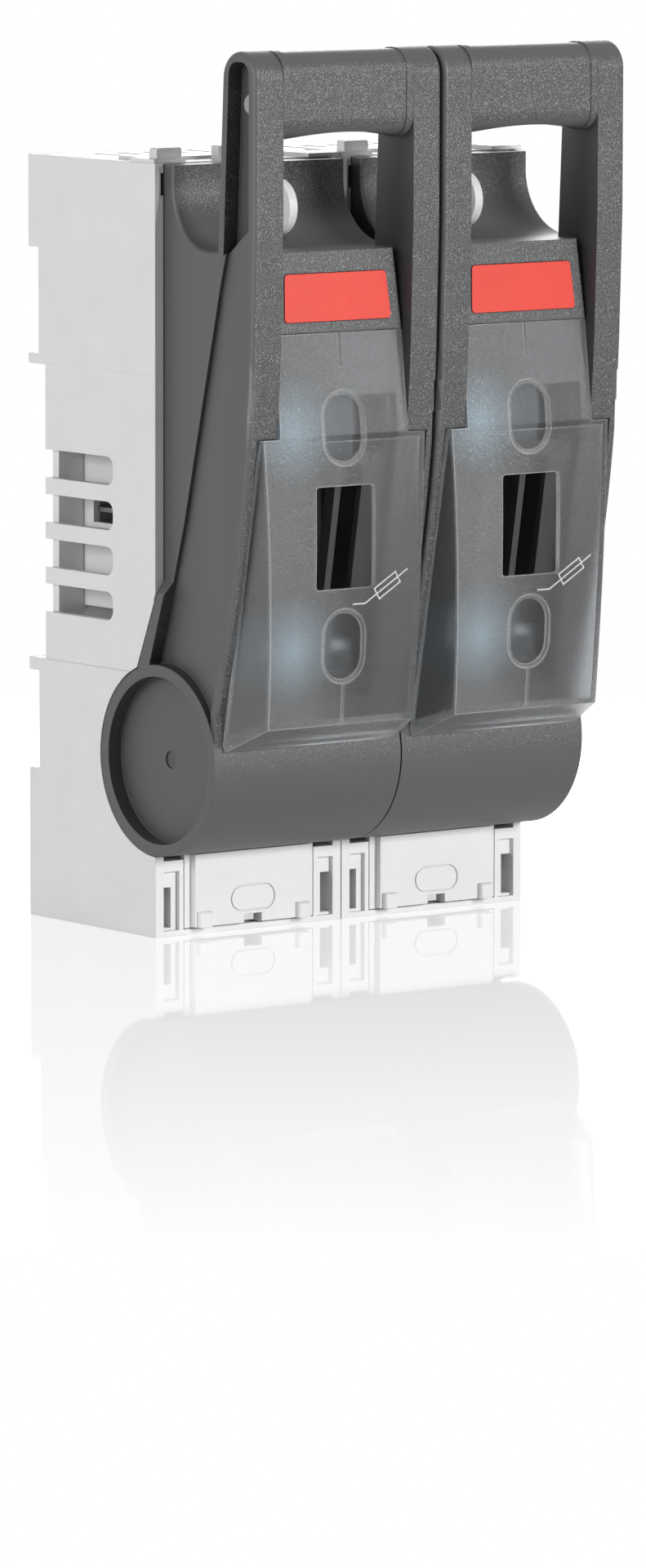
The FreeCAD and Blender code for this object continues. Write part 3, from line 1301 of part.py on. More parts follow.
def arc_chamber():
    """Holder of the arc plates: grooved and ribbed side walls with a window, and a rear wall."""
    low = FUSE_CENTRE - CHAMBER_HEIGHT / 2
    high = FUSE_CENTRE + CHAMBER_HEIGHT / 2
    rear = BACK_INNER + SEAT_CLEARANCE
    half = CHAMBER_HALF_WIDTH
    wall = block(half - CHAMBER_WALL, half, rear, CHAMBER_FORWARD, low, high)
    rib = block(
        half - CHAMBER_WALL / 2, half + CHAMBER_RIB_HEIGHT, CHAMBER_RIB_FORWARD,
        CHAMBER_RIB_FORWARD + CHAMBER_RIB_WIDTH, low, high,
    )
    back = block(-half, half, rear, rear + CHAMBER_WALL, low, high)
    room = ARC_PLATE_THICKNESS / 2 + ARC_GROOVE_CLEARANCE
    inner = half - CHAMBER_WALL
    cuts = []
    for height in arc_plate_heights():
        cuts.append(block(
            inner - PAST, inner + CHAMBER_GROOVE, rear + CHAMBER_WALL, CHAMBER_FORWARD + PAST,
            height - room, height + room,
        ))
    middle = VENT_CENTRE + VENT_PITCH / 2
    cuts.append(block(
        inner - PAST, half + CHAMBER_RIB_HEIGHT + PAST, rear + 2 * CHAMBER_WALL,
        -VENT_FRONT_SETBACK, middle - CHAMBER_WINDOW_HEIGHT / 2, middle + CHAMBER_WINDOW_HEIGHT / 2,
    ))
    side = joined([wall, rib]).cut(cuts)
    return joined([back, side, mirrored(side)])


def arc_plate_heights():
    first = FUSE_CENTRE - (ARC_PLATE_COUNT - 1) / 2 * ARC_PLATE_PITCH
    return [first + k * ARC_PLATE_PITCH for k in range(ARC_PLATE_COUNT)]


def arc_plates():
    """Stacked steel plates, each with a V notch in its front edge."""
    half = CHAMBER_HALF_WIDTH - CHAMBER_WALL + CHAMBER_GROOVE - ARC_SIDE_CLEARANCE
    rear = BACK_INNER + CHAMBER_WALL + 2 * SEAT_CLEARANCE
    front = CHAMBER_FORWARD - ARC_PLATE_SETBACK
    plates = []
    for height in arc_plate_heights():
        outline = Outline("plan", -half, rear).line(half, rear).line(half, front)
        outline.lines((half / 3, front), (0, front - ARC_PLATE_NOTCH), (-half / 3, front))
        outline.line(-half, front)
        plates.append(outline.prism(
            height - ARC_PLATE_THICKNESS / 2, height + ARC_PLATE_THICKNESS / 2
        ))
    return Part.makeCompound(plates)


# Covers


def top_tab(left, right):
    """Upright tab at the front of the top cover, with its upper corners rounded."""
    front = TOP_COVER_FRONT - TOP_TAB_SETBACK
    tab = block(
        left, right, front - TOP_TAB_THICKNESS, front,
        HOUSING_HEIGHT - TOP_COVER_THICKNESS, HOUSING_HEIGHT + TOP_TAB_HEIGHT,
    )
    corners = [
        edge for edge in tab.Edges
        if edge.BoundBox.YLength > TOUCH and edge.BoundBox.ZMin > HOUSING_HEIGHT
    ]
    return tab.makeFillet(TOP_TAB_CORNER, corners)


def top_terminal_cover():
    """Slotted plate over the upper terminal, with tabs, corner pads and a rim underneath."""
    half = INNER_HALF - TOP_COVER_SIDE_CLEARANCE
    rear = -HOUSING_DEPTH + HOUSING_WALL + TOP_COVER_SIDE_CLEARANCE
    low = HOUSING_HEIGHT - TOP_COVER_THICKNESS
    plate = block(-half, half, rear, TOP_COVER_FRONT, low, HOUSING_HEIGHT)
    front_lip = block(
        -half, half, TOP_COVER_FRONT - TOP_COVER_THICKNESS, TOP_COVER_FRONT,
        HOUSING_HEIGHT - TOP_COVER_RIM, HOUSING_HEIGHT,
    )
    pad = block(
        TOP_PAD_INNER, HALF - TOP_PAD_INSET, TOP_PAD_REAR, TOP_PAD_FRONT,
        HOUSING_HEIGHT, HOUSING_HEIGHT + TOP_PAD_HEIGHT,
    )
    ridge = block(
        TOP_RIDGE_SIDE - half, half - TOP_RIDGE_SIDE, TOP_RIDGE_REAR, TOP_PAD_REAR,
        HOUSING_HEIGHT - TOP_COVER_THICKNESS / 2, HOUSING_HEIGHT + TOP_RIDGE_HEIGHT,
    )
    tab_outer = INNER_HALF - TOP_TAB_INSET
    tabs = [
        top_tab(-tab_outer, TOP_TAB_WIDTH - tab_outer),
        top_tab(-TOP_MIDDLE_TAB_HALF, TOP_MIDDLE_TAB_HALF),
    ]
    slots = []
    for k in range(TOP_SLOT_COUNT):
        across = (k - (TOP_SLOT_COUNT - 1) / 2) * TOP_SLOT_PITCH
        slots.append(block(
            across - TOP_SLOT_WIDTH / 2, across + TOP_SLOT_WIDTH / 2, rear + TOP_COVER_RIM,
            TOP_RIDGE_REAR - TOP_SLOT_WIDTH, low - PAST, HOUSING_HEIGHT + PAST,
        ))
    return joined([plate.cut(slots), front_lip, pad, mirrored(pad), ridge] + tabs)


def knockout_block(inset, rear):
    """Lying stadium in front of a depth of the lower cover's panel."""
    half_width = KNOCKOUT_WIDTH / 2 - inset
    half_height = KNOCKOUT_HEIGHT / 2 - inset
    outline = rounded_rectangle(
        "front", -half_width, half_width, KNOCKOUT_RISE - half_height,
        KNOCKOUT_RISE + half_height, half_height,
    )
    return outline.prism(rear, PANEL_PROUD + PAST)


def bottom_terminal_cover():
    """Cover between the pillars: flange, raised panel, oval knock-out, hooks and notch."""
    half = INNER_HALF - PILLAR_WIDTH - BOTTOM_COVER_SIDE_CLEARANCE
    top = HINGE_HEIGHT - DISC_RADIUS - BOTTOM_COVER_DISC_CLEARANCE
    low = SILL_HEIGHT + SEAT_CLEARANCE
    skin = BOTTOM_COVER_THICKNESS
    flange = block(-half, half, -skin, 0, low, top)
    panel = block(-PANEL_HALF_WIDTH, PANEL_HALF_WIDTH, -skin, PANEL_PROUD, PANEL_FOOT, top)
    inside = block(
        skin - PANEL_HALF_WIDTH, PANEL_HALF_WIDTH - skin, -skin - PAST, PANEL_PROUD - skin,
        PANEL_FOOT + skin, top - skin,
    )
    guide = block(half - skin, half, -PILLAR_DEPTH, 0, low, top - PAST)
    hook_outer = PANEL_HALF_WIDTH - HOOK_INSET
    hook = block(hook_outer - HOOK_WIDTH, hook_outer, 0, HOOK_PROUD, PANEL_FOOT, HOOK_TOP)
    edges = [edge for edge in hook.Edges if edge.BoundBox.YMin < TOUCH - HOOK_PROUD
             and edge.BoundBox.YLength < TOUCH and edge.BoundBox.ZMax > HOOK_TOP - TOUCH]
    hook = hook.makeFillet(HOOK_CORNER, edges)
    notch = block(
        -NOTCH_HALF_WIDTH, NOTCH_HALF_WIDTH, -skin - PAST, PANEL_PROUD + PAST,
        PANEL_FOOT - PAST, PANEL_FOOT + NOTCH_HEIGHT,
    )
    groove = knockout_block(0, PANEL_PROUD - KNOCKOUT_GROOVE)
    groove = groove.cut(knockout_block(KNOCKOUT_GROOVE, 0))
    body = joined([flange, panel]).cut([inside, notch, groove])
    return joined([body, guide, mirrored(guide), hook, mirrored(hook)])


# Fasteners and pins


def hinge_pins():
    """Two stub pins from the ears into the lid's discs."""
    outer = DISC_FLOOR_FACE - PIN_END_SETBACK
    pin = rod_across(HINGE_FORWARD, HINGE_HEIGHT, PIN_RADIUS, EAR_INNER, outer)
    return Part.makeCompound([pin, mirrored(pin)])


def terminal_bolt(height):
    head_front = RISER_FORWARD - BAR_THICKNESS - POST_WALL_CLEARANCE
    shank = rod_forward(0, height, BOLT_RADIUS, head_front, RISER_FORWARD + BOLT_REACH)
    head = hexagon_forward(0, height, BOLT_FLATS, head_front - BOLT_HEAD, head_front)
    return joined([head, shank])


def terminal_washer(height):
    ring = rod_forward(0, height, WASHER_RADIUS, RISER_FORWARD, RISER_FORWARD + WASHER_THICKNESS)
    hole = rod_forward(0, height, BOLT_RADIUS + WASHER_HOLE_CLEARANCE, RISER_FORWARD - PAST, 0)
    return ring.cut(hole)


def terminal_nut(height):
    rear = RISER_FORWARD + WASHER_THICKNESS
    body = hexagon_forward(0, height, BOLT_FLATS, rear, rear + NUT_HEIGHT)
    return body.cut(rod_forward(0, height, BOLT_RADIUS + RUNNING_CLEARANCE, rear - PAST, 0))


def contact_screw(across, height):
    seat = JAW_ROOT_FORWARD + JAW_SPRING_THICKNESS
    shank = rod_forward(across, height, SCREW_RADIUS, seat - SCREW_LENGTH, seat)
    head = hexagon_forward(across, height, SCREW_FLATS, seat, seat + SCREW_HEAD_HEIGHT)
    return joined([head, shank])


def pole_places():
    """Centre of each pole across the device."""
    first = -POLE_PITCH * (len(POLE_NAMES) - 1) / 2
    return [(name, first + k * POLE_PITCH) for k, name in enumerate(POLE_NAMES)]


def at_poles(make):
    """The same group of solids at every pole."""
    solids = []
    for _, across in pole_places():
        for solid in make():
            solid.translate(V(across, 0, 0))
            solids.append(solid)
    return Part.makeCompound(solids)


def pole_pieces(key_side):
    """Every piece of one pole, about its own middle plane."""
    return {
        "base_housing": base_housing(key_side),
        "top_terminal_cover": top_terminal_cover(),
        "bottom_terminal_cover": bottom_terminal_cover(),
        "upper_contact": contact(UPPER_JAW, UPPER_PAD),
        "lower_contact": contact(LOWER_JAW, LOWER_PAD_RISE),
        "upper_contact_block": contact_block(UPPER_JAW, 1),
        "lower_contact_block": contact_block(LOWER_JAW, -1),
        "upper_jaw_springs": jaw_springs(UPPER_JAW),
        "lower_jaw_springs": jaw_springs(LOWER_JAW),
        "arc_chamber": arc_chamber(),
        "arc_plates": arc_plates(),
        "hinge_pins": hinge_pins(),
        "lid_shell": lid_shell(),
        "handle_grip": handle_grip(),
        "grip_pin": grip_pin(),
        "window_cover": window_cover(),
        "label_plate": label_plate(),
        "lock_tab": lock_tab(),
        "fuse_carrier": fuse_carrier(),
        "fuse_catches": fuse_catches(),
        "carrier_clips": carrier_clips(),
    }


def shared_pieces():
    """Fasteners of both poles, grouped by kind, and the keys between the housings."""
    pads = (UPPER_PAD, LOWER_PAD_RISE)
    jaws = (UPPER_JAW, LOWER_JAW)
    return {
        "terminal_bolts": at_poles(lambda: [terminal_bolt(pad) for pad in pads]),
        "terminal_washers": at_poles(lambda: [terminal_washer(pad) for pad in pads]),
        "terminal_nuts": at_poles(lambda: [terminal_nut(pad) for pad in pads]),
        "contact_screws": at_poles(
            lambda: [contact_screw(s * SCREW_OFFSET, jaw) for jaw in jaws for s in (-1, 1)]
        ),
        "joining_keys": Part.makeCompound([key_prism(height, 0, 0) for height in KEY_HEIGHTS]),
    }


def write_pieces(pieces, across, prefix):
    """Writes each piece to its own file, moved to its place in the row's frame."""
    for name, shape in pieces.items():
        placed = shape.copy()
        placed.translate(V(across, ROW_SHIFT, 0))
        placed.exportStep("parts/" + prefix + name + ".step")


def main():
    os.makedirs("parts", exist_ok=True)
    for name, across in pole_places():
        key_side = 1 if across < 0 else -1
        write_pieces(pole_pieces(key_side), across, name + "_")
    write_pieces(shared_pieces(), 0, "")


main()
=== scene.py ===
"""Looks of two fuse switch disconnectors that stand side by side with their lids shut."""

import logging
import math
from dataclasses import dataclass
from enum import Enum

import bmesh
import bpy
from mathutils import Matrix, Vector
from mathutils.bvhtree import BVHTree


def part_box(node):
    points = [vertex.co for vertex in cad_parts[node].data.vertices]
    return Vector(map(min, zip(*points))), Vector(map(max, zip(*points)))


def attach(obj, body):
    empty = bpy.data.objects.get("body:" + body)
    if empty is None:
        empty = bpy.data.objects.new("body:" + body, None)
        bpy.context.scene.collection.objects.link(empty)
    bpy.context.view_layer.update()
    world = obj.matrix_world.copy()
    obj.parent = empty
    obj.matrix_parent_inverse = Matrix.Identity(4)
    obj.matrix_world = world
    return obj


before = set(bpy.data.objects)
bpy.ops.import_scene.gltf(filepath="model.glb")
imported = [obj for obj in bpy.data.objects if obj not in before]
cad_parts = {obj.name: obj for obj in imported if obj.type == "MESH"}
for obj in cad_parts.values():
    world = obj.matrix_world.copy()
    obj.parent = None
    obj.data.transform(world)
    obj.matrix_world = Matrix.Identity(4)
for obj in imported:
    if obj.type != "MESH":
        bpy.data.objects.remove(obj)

LOG = logging.getLogger("disconnector")
MM = 0.001
NOISE_REACH = (0.3, 0.7)     # where most of a noise's values lie
NODE_SAMPLES = 4             # rays of a softened edge or of a hollow's test
FLAT_MATCH = 0.999           # cosine under which a softened edge starts to count

Colour = tuple[float, float, float, float]
Place = tuple[float, float, float]
Reach = tuple[float, float]
Spot = tuple[float, float]
Socket = bpy.types.NodeSocket


class Pole(Enum):
    """The two poles, by the first word of their nodes' and bodies' names."""

    LEFT = "left"
    RIGHT = "right"

    def node(self, piece: str) -> bpy.types.Object:
        """Finds one of the pole's CAD nodes.

        Args:
            piece: The node's name without the pole's word.

        Returns:
            The node's object.
        """
        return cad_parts[f"{self.value}_{piece}"]


def grey(level: float, warmth: float = 0.0) -> Colour:
    """Makes a grey.

    Args:
        level: How light it is.
        warmth: How much more red and less blue it has, as a share, or the reverse below 0.

    Returns:
        The colour.
    """
    return (level * (1 + warmth), level, level * (1 - warmth), 1.0)


def shaded(colour: Colour, factor: float) -> Colour:
    """Makes a colour lighter or darker.

    Args:
        colour: The colour to start from.
        factor: What each part of it is multiplied by.

    Returns:
        The new colour, no lighter than white.
    """
    return tuple(min(1.0, part * factor) for part in colour[:3]) + (1.0,)


class ShaderGraph:
    """The nodes of one material or of the surroundings, added and joined by plain calls."""

    def __init__(self, owner: bpy.types.Material | bpy.types.World) -> None:
        """Starts with no nodes.

        Args:
            owner: The material or surroundings that the nodes belong to.
        """
        owner.use_nodes = True
        self.owner = owner
        self.tree = owner.node_tree
        self.tree.nodes.clear()

    def node(self, kind: str, **settings: object) -> bpy.types.Node:
        """Adds a node.

        Args:
            kind: The node's type, without its "ShaderNode" prefix.
            settings: Properties of the node, by name.

        Returns:
            The new node.
        """
        made = self.tree.nodes.new("ShaderNode" + kind)
        for key, value in settings.items():
            setattr(made, key, value)
        return made

    def feed(self, target: Socket, value: Socket | float | Colour | Place) -> None:
        """Gives an input its value.

        Args:
            target: The input.
            value: An output that is joined to it, or a number, colour or place.
        """
        if isinstance(value, Socket):
            self.tree.links.new(value, target)
        else:
            target.default_value = value

    def shader(self, kind: str, **inputs: Socket | float | Colour) -> Socket:
        """Adds a shader.

        Args:
            kind: The shader node's type, without its "ShaderNode" prefix.
            inputs: What its inputs get, by name with _ for a space.

        Returns:
            The shader's output.
        """
        made = self.node(kind)
        for key, value in inputs.items():
            self.feed(made.inputs[key.replace("_", " ")], value)
        return made.outputs[0]

    def show(self, shader: Socket, kind: str = "OutputMaterial") -> None:
        """Lets the surface or the surroundings show a shader.

        Args:
            shader: The shader.
            kind: The output node's type, without its "ShaderNode" prefix.
        """
        self.feed(self.node(kind).inputs["Surface"], shader)

    def mixed(self, share: Socket, first: Socket, second: Socket) -> Socket:
        """Mixes two shaders.

        Args:
            share: 0 for the first shader and 1 for the second.
            first: The first shader.
            second: The second shader.

        Returns:
            The mixed shader.
        """
        mix = self.node("MixShader")
        for target, value in zip(mix.inputs, (share, first, second)):
            self.feed(target, value)
        return mix.outputs["Shader"]

    def noise(self, size: float, detail: float = 2.0, stretch: Place = (1, 1, 1)) -> Socket:
        """Adds noise in the part's own coordinates.

        Args:
            size: Distance between its bumps, in metres.
            detail: How many finer layers it has.
            stretch: How much finer it is along each axis.

        Returns:
            The noise from 0 to 1.
        """
        turned = self.node("Mapping")
        self.feed(turned.inputs["Vector"], self.node("TexCoord").outputs["Object"])
        self.feed(turned.inputs["Scale"], stretch)
        texture = self.node("TexNoise")
        self.feed(texture.inputs["Vector"], turned.outputs["Vector"])
        self.feed(texture.inputs["Scale"], 1 / size)
        self.feed(texture.inputs["Detail"], detail)
        return texture.outputs["Fac"]

    def remap(self, value: Socket, low: float, high: float,
              to_low: float = 0.0, to_high: float = 1.0) -> Socket:
        """Maps a range of a value to another range, clamped.

        Args:
            value: The value to map.
            low: Start of its range.
            high: End of its range.
            to_low: Result at the start.
            to_high: Result at the end.

        Returns:
            The mapped value.
        """
        mapped = self.node("MapRange")
        for target, given in zip(mapped.inputs, (value, low, high, to_low, to_high)):
            self.feed(target, given)
        return mapped.outputs["Result"]

    def math(self, operation: str, *values: Socket | float) -> Socket:
        """Adds a sum or another operation.

        Args:
            operation: The operation's name in capitals.
            values: What it works on.

        Returns:
            The result.
        """
        made = self.node("Math", operation=operation)
        for target, value in zip(made.inputs, values):
            self.feed(target, value)
        return made.outputs["Value"]

    def length(self, across: Socket, up: Socket) -> Socket:
        """The length of a step.

        Args:
            across: Its part across.
            up: Its part up.

        Returns:
            The length.
        """
        squares = [self.math("MULTIPLY", part, part) for part in (across, up)]
        return self.math("SQRT", self.math("ADD", *squares))

    def coordinate(self, axis: str, kind: str = "Object") -> Socket:
        """One part of a place, or of the direction in which a face looks.

        Args:
            axis: The axis of the part, "X", "Y" or "Z".
            kind: "Object" for the place in metres, or "Normal" for the direction.

        Returns:
            The part along the axis.
        """
        parts = self.node("SeparateXYZ")
        self.feed(parts.inputs["Vector"], self.node("TexCoord").outputs[kind])
        return parts.outputs[axis]

    def openness(self, reach: float) -> Socket:
        """How open a place lies.

        Args:
            reach: How far away walls still count, in metres.

        Returns:
            The share, from 0 deep in a hollow to 1 on a flat face.
        """
        walls = self.node("AmbientOcclusion", samples=NODE_SAMPLES, only_local=True)
        self.feed(walls.inputs["Distance"], reach)
        return walls.outputs["AO"]

    def soft_normal(self, radius: float) -> Socket:
        """The direction of a face whose edges are softened.

        Args:
            radius: Radius of the softened edges, in metres.

        Returns:
            The normal.
        """
        soft = self.node("Bevel", samples=NODE_SAMPLES)
        self.feed(soft.inputs["Radius"], radius)
        return soft.outputs["Normal"]

    def edge_highlight_share(self, radius: float, turn: float) -> Socket:
        """How near a place is to an edge of its piece; the finishes use it for painted edge
        highlights.

        Args:
            radius: How far the edges reach, in metres.
            turn: Cosine of the turn at which an edge counts in full.

        Returns:
            The share, from 0 on flat faces to 1.
        """
        match = self.node("VectorMath", operation="DOT_PRODUCT")
        self.feed(match.inputs[0], self.soft_normal(radius))
        self.feed(match.inputs[1], self.node("NewGeometry").outputs["True Normal"])
        return self.remap(match.outputs["Value"], FLAT_MATCH, turn)

    def relief(self, height: Socket, depth: float, edge_radius: float) -> Socket:
        """The direction of a face with a fine relief and softened edges.

        Args:
            height: The relief's height from 0 to 1.
            depth: Its depth in metres.
            edge_radius: Radius of the softened edges, in metres.

        Returns:
            The normal.
        """
        bump = self.node("Bump")
        self.feed(bump.inputs["Height"], height)
        self.feed(bump.inputs["Distance"], depth)
        self.feed(bump.inputs["Normal"], self.soft_normal(edge_radius))
        return bump.outputs["Normal"]

    def blend(self, share: Socket, low: Colour, high: Colour) -> Socket:
        """A colour between two colours.

        Args:
            share: 0 for the first colour and 1 for the second.
            low: The first colour.
            high: The second colour.

        Returns:
            The colour.
        """
        ramp = self.node("ValToRGB")
        ramp.color_ramp.elements[0].color = low
        ramp.color_ramp.elements[1].color = high
        self.feed(ramp.inputs["Fac"], share)
        return ramp.outputs["Color"]

    def tinted(self, share: Socket, colour: Socket, tint: Colour) -> Socket:
        """A colour with some of another colour in it.

        Args:
            share: 0 for none of the other colour and 1 for nothing else.
            colour: The colour to start from.
            tint: The other colour.

        Returns:
            The mixed colour.
        """
        mix = self.node("MixRGB")
        for target, value in zip(mix.inputs, (share, colour, tint)):
            self.feed(target, value)
        return mix.outputs["Color"]

    def seen_share(self) -> Socket:
        """Tells what looks at a surface from what lights it.

        Returns:
            1 for rays of sight, mirrors and clear pieces, and 0 for rays of light.
        """
        rays = self.node("LightPath").outputs
        seen = rays["Is Camera Ray"]
        for kind in ("Is Glossy Ray", "Is Transmission Ray"):
            seen = self.math("MAXIMUM", seen, rays[kind])
        return seen


@dataclass(frozen=True)
class Moulding:
    """A moulded plastic with the fine grain of a spark-eroded mould.

    Attributes:
        name: The material's name.
        colour: Its middle colour.
        roughness: Its middle roughness.
        rough_spread: How far its roughness strays on the grain.
        grain: Distance between the grain's bumps.
        depth: The grain's depth.
        cloud: How far its colour strays, as a share.
        cloud_size: Distance between its clouds.
        cloud_detail: How many finer layers the clouds have.
        edge_radius: Radius of its softened edges.
        specular: Strength of its gloss.
    """

    name: str
    colour: Colour
    roughness: float = 0.5
    rough_spread: float = 0.06
    grain: float = 0.5 * MM
    depth: float = 0.02 * MM
    cloud: float = 0.05
    cloud_size: float = 12 * MM
    cloud_detail: float = 4.0
    edge_radius: float = 0.3 * MM
    specular: float = 0.5

    def material(self) -> bpy.types.Material:
        """Builds the finish: soft clouds in its colour, grain in its relief and gloss.

        Returns:
            The material.
        """
        graph = ShaderGraph(bpy.data.materials.new(self.name))
        cloud = graph.noise(self.cloud_size, self.cloud_detail)
        low, high = (shaded(self.colour, 1 + way * self.cloud) for way in (-1, 1))
        grain = graph.noise(self.grain)
        rough = [self.roughness + way * self.rough_spread for way in (-1, 1)]
        graph.show(graph.shader(
            "BsdfPrincipled",
            Base_Color=graph.blend(cloud, low, high),
            Roughness=graph.remap(grain, *NOISE_REACH, *rough),
            Specular_IOR_Level=self.specular,
            Normal=graph.relief(grain, self.depth, self.edge_radius),
        ))
        return graph.owner


@dataclass(frozen=True)
class SparkledMoulding:
    """A glass-filled dark moulding: coarse grain, with painted glints and a painted darker ground
    on its open front faces only.

    Attributes:
        name: The material's name.
        colour: Its colour on plain faces.
        sparkle: The colour of its painted glints (specks) and of its painted edge highlights.
        roughness: Roughness on the grain.
        side_roughness: Roughness on plain faces.
        specular: Strength of its gloss.
        painted_ground_shade: How dark the ground is painted between the glints on grained faces,
            as a share: painted shade.
        grain: Distance between the grain's bumps.
        grain_detail: How many finer layers the grain has.
        depth: The grain's depth.
        side_depth: Share of that depth on plain faces.
        speck: Distance between the painted glints.
        speck_reach: Noise from which a speck starts, and is full.
        edge_radius: Radius of its softened edges.
        edge_highlight_radius: How far the painted edge highlights reach.
        edge_highlight_turn: Cosine of the turn at which an edge gets its painted highlight in
            full.
        edge_highlight_strength: How light the painted edge highlights are, as a share of the
            sparkle.
        hollow: How far away walls count for the painted shade in a hollow.
        painted_shade_reach: Openness at which the painted shade of a hollow is full, and none.
        painted_hollow_shade: How dark the painted shade in hollows is, as a share.
        grain_from: Heights at which the grain starts and is full.
        front_from: How far forward grained faces look, least and in full; only such faces get the
            painted glints.
        open_within: How far away walls keep the grain off, and with it the painted glints, which
            are left out where shade falls.
        open_reach: Openness at which the grain starts and is full.
    """

    name: str
    colour: Colour
    sparkle: Colour
    roughness: float = 0.46
    side_roughness: float = 0.52
    specular: float = 0.6
    painted_ground_shade: float = 0.42
    grain: float = 0.7 * MM
    grain_detail: float = 3.0
    depth: float = 0.12 * MM
    side_depth: float = 0.08
    speck: float = 0.315 * MM
    speck_reach: Reach = (0.54, 0.7)
    edge_radius: float = 0.5 * MM
    edge_highlight_radius: float = 0.3 * MM
    edge_highlight_turn: float = 0.85
    edge_highlight_strength: float = 0.45
    hollow: float = 40 * MM
    painted_shade_reach: Reach = (0.3, 0.8)
    painted_hollow_shade: float = 0.25
    grain_from: Reach = (50 * MM, 66 * MM)
    front_from: Reach = (-0.8, -0.96)
    open_within: float = 9 * MM
    open_reach: Reach = (0.5, 0.8)

    def material(self) -> bpy.types.Material:
        """Builds the finish: painted glints and bumps on the grain, painted edge highlights and
        painted shade in hollows.

        Returns:
            The material.
        """
        graph = ShaderGraph(bpy.data.materials.new(self.name))
        grained = self.grain_and_glint_share(graph)
        grain = graph.noise(self.grain, self.grain_detail)
        share = graph.remap(grained, 0.0, 1.0, self.side_depth, 1.0)
        height = graph.math("MULTIPLY", grain, share)
        graph.show(graph.shader(
            "BsdfPrincipled",
            Base_Color=self.shown_colour(graph, grained),
            Roughness=graph.remap(grained, 0.0, 1.0, self.side_roughness, self.roughness),
            Specular_IOR_Level=self.specular,
            Normal=graph.relief(height, self.depth, self.edge_radius),
        ))
        return graph.owner

    def shown_colour(self, graph: ShaderGraph, grained: Socket) -> Socket:
        """The colour with its painted glints, painted darker ground, painted edge highlights and
        painted shade in hollows.

        Args:
            graph: The material's nodes.
            grained: How grained a place is.

        Returns:
            The colour.
        """
        # Painted shade: grained front faces get a darker ground between the painted glints.
        dark = graph.blend(grained, self.colour, shaded(self.colour, self.painted_ground_shade))
        # Painted shade: hollows are darkened where walls come near.
        hollow = graph.remap(graph.openness(self.hollow), *self.painted_shade_reach, 1.0, 0.0)
        dark = graph.tinted(hollow, dark, shaded(self.colour, self.painted_hollow_shade))
        # Painted glints: light specks, only on grained faces that look forward and lie open.
        specks = graph.remap(graph.noise(self.speck), *self.speck_reach)
        specks = graph.math("MULTIPLY", specks, grained)
        # Painted highlights: a light line along the edges of the lid.
        edges = graph.edge_highlight_share(self.edge_highlight_radius, self.edge_highlight_turn)
        edges = graph.math("MULTIPLY", edges, self.edge_highlight_strength)
        # The painted glints and painted edge highlights take the sparkle colour.
        return graph.tinted(graph.math("MAXIMUM", specks, edges), dark, self.sparkle)

    def grain_and_glint_share(self, graph: ShaderGraph) -> Socket:
        """How grained a place is; the same share places the painted glints and the painted darker
        ground.

        Args:
            graph: The material's nodes.

        Returns:
            The share, above 0 on open faces that look forward, above the hinge.
        """
        front = graph.remap(graph.coordinate("Y", "Normal"), *self.front_from)
        opened = graph.remap(graph.openness(self.open_within), *self.open_reach)
        above = graph.remap(graph.coordinate("Z"), *self.grain_from)
        return graph.math("MULTIPLY", graph.math("MULTIPLY", front, opened), above)


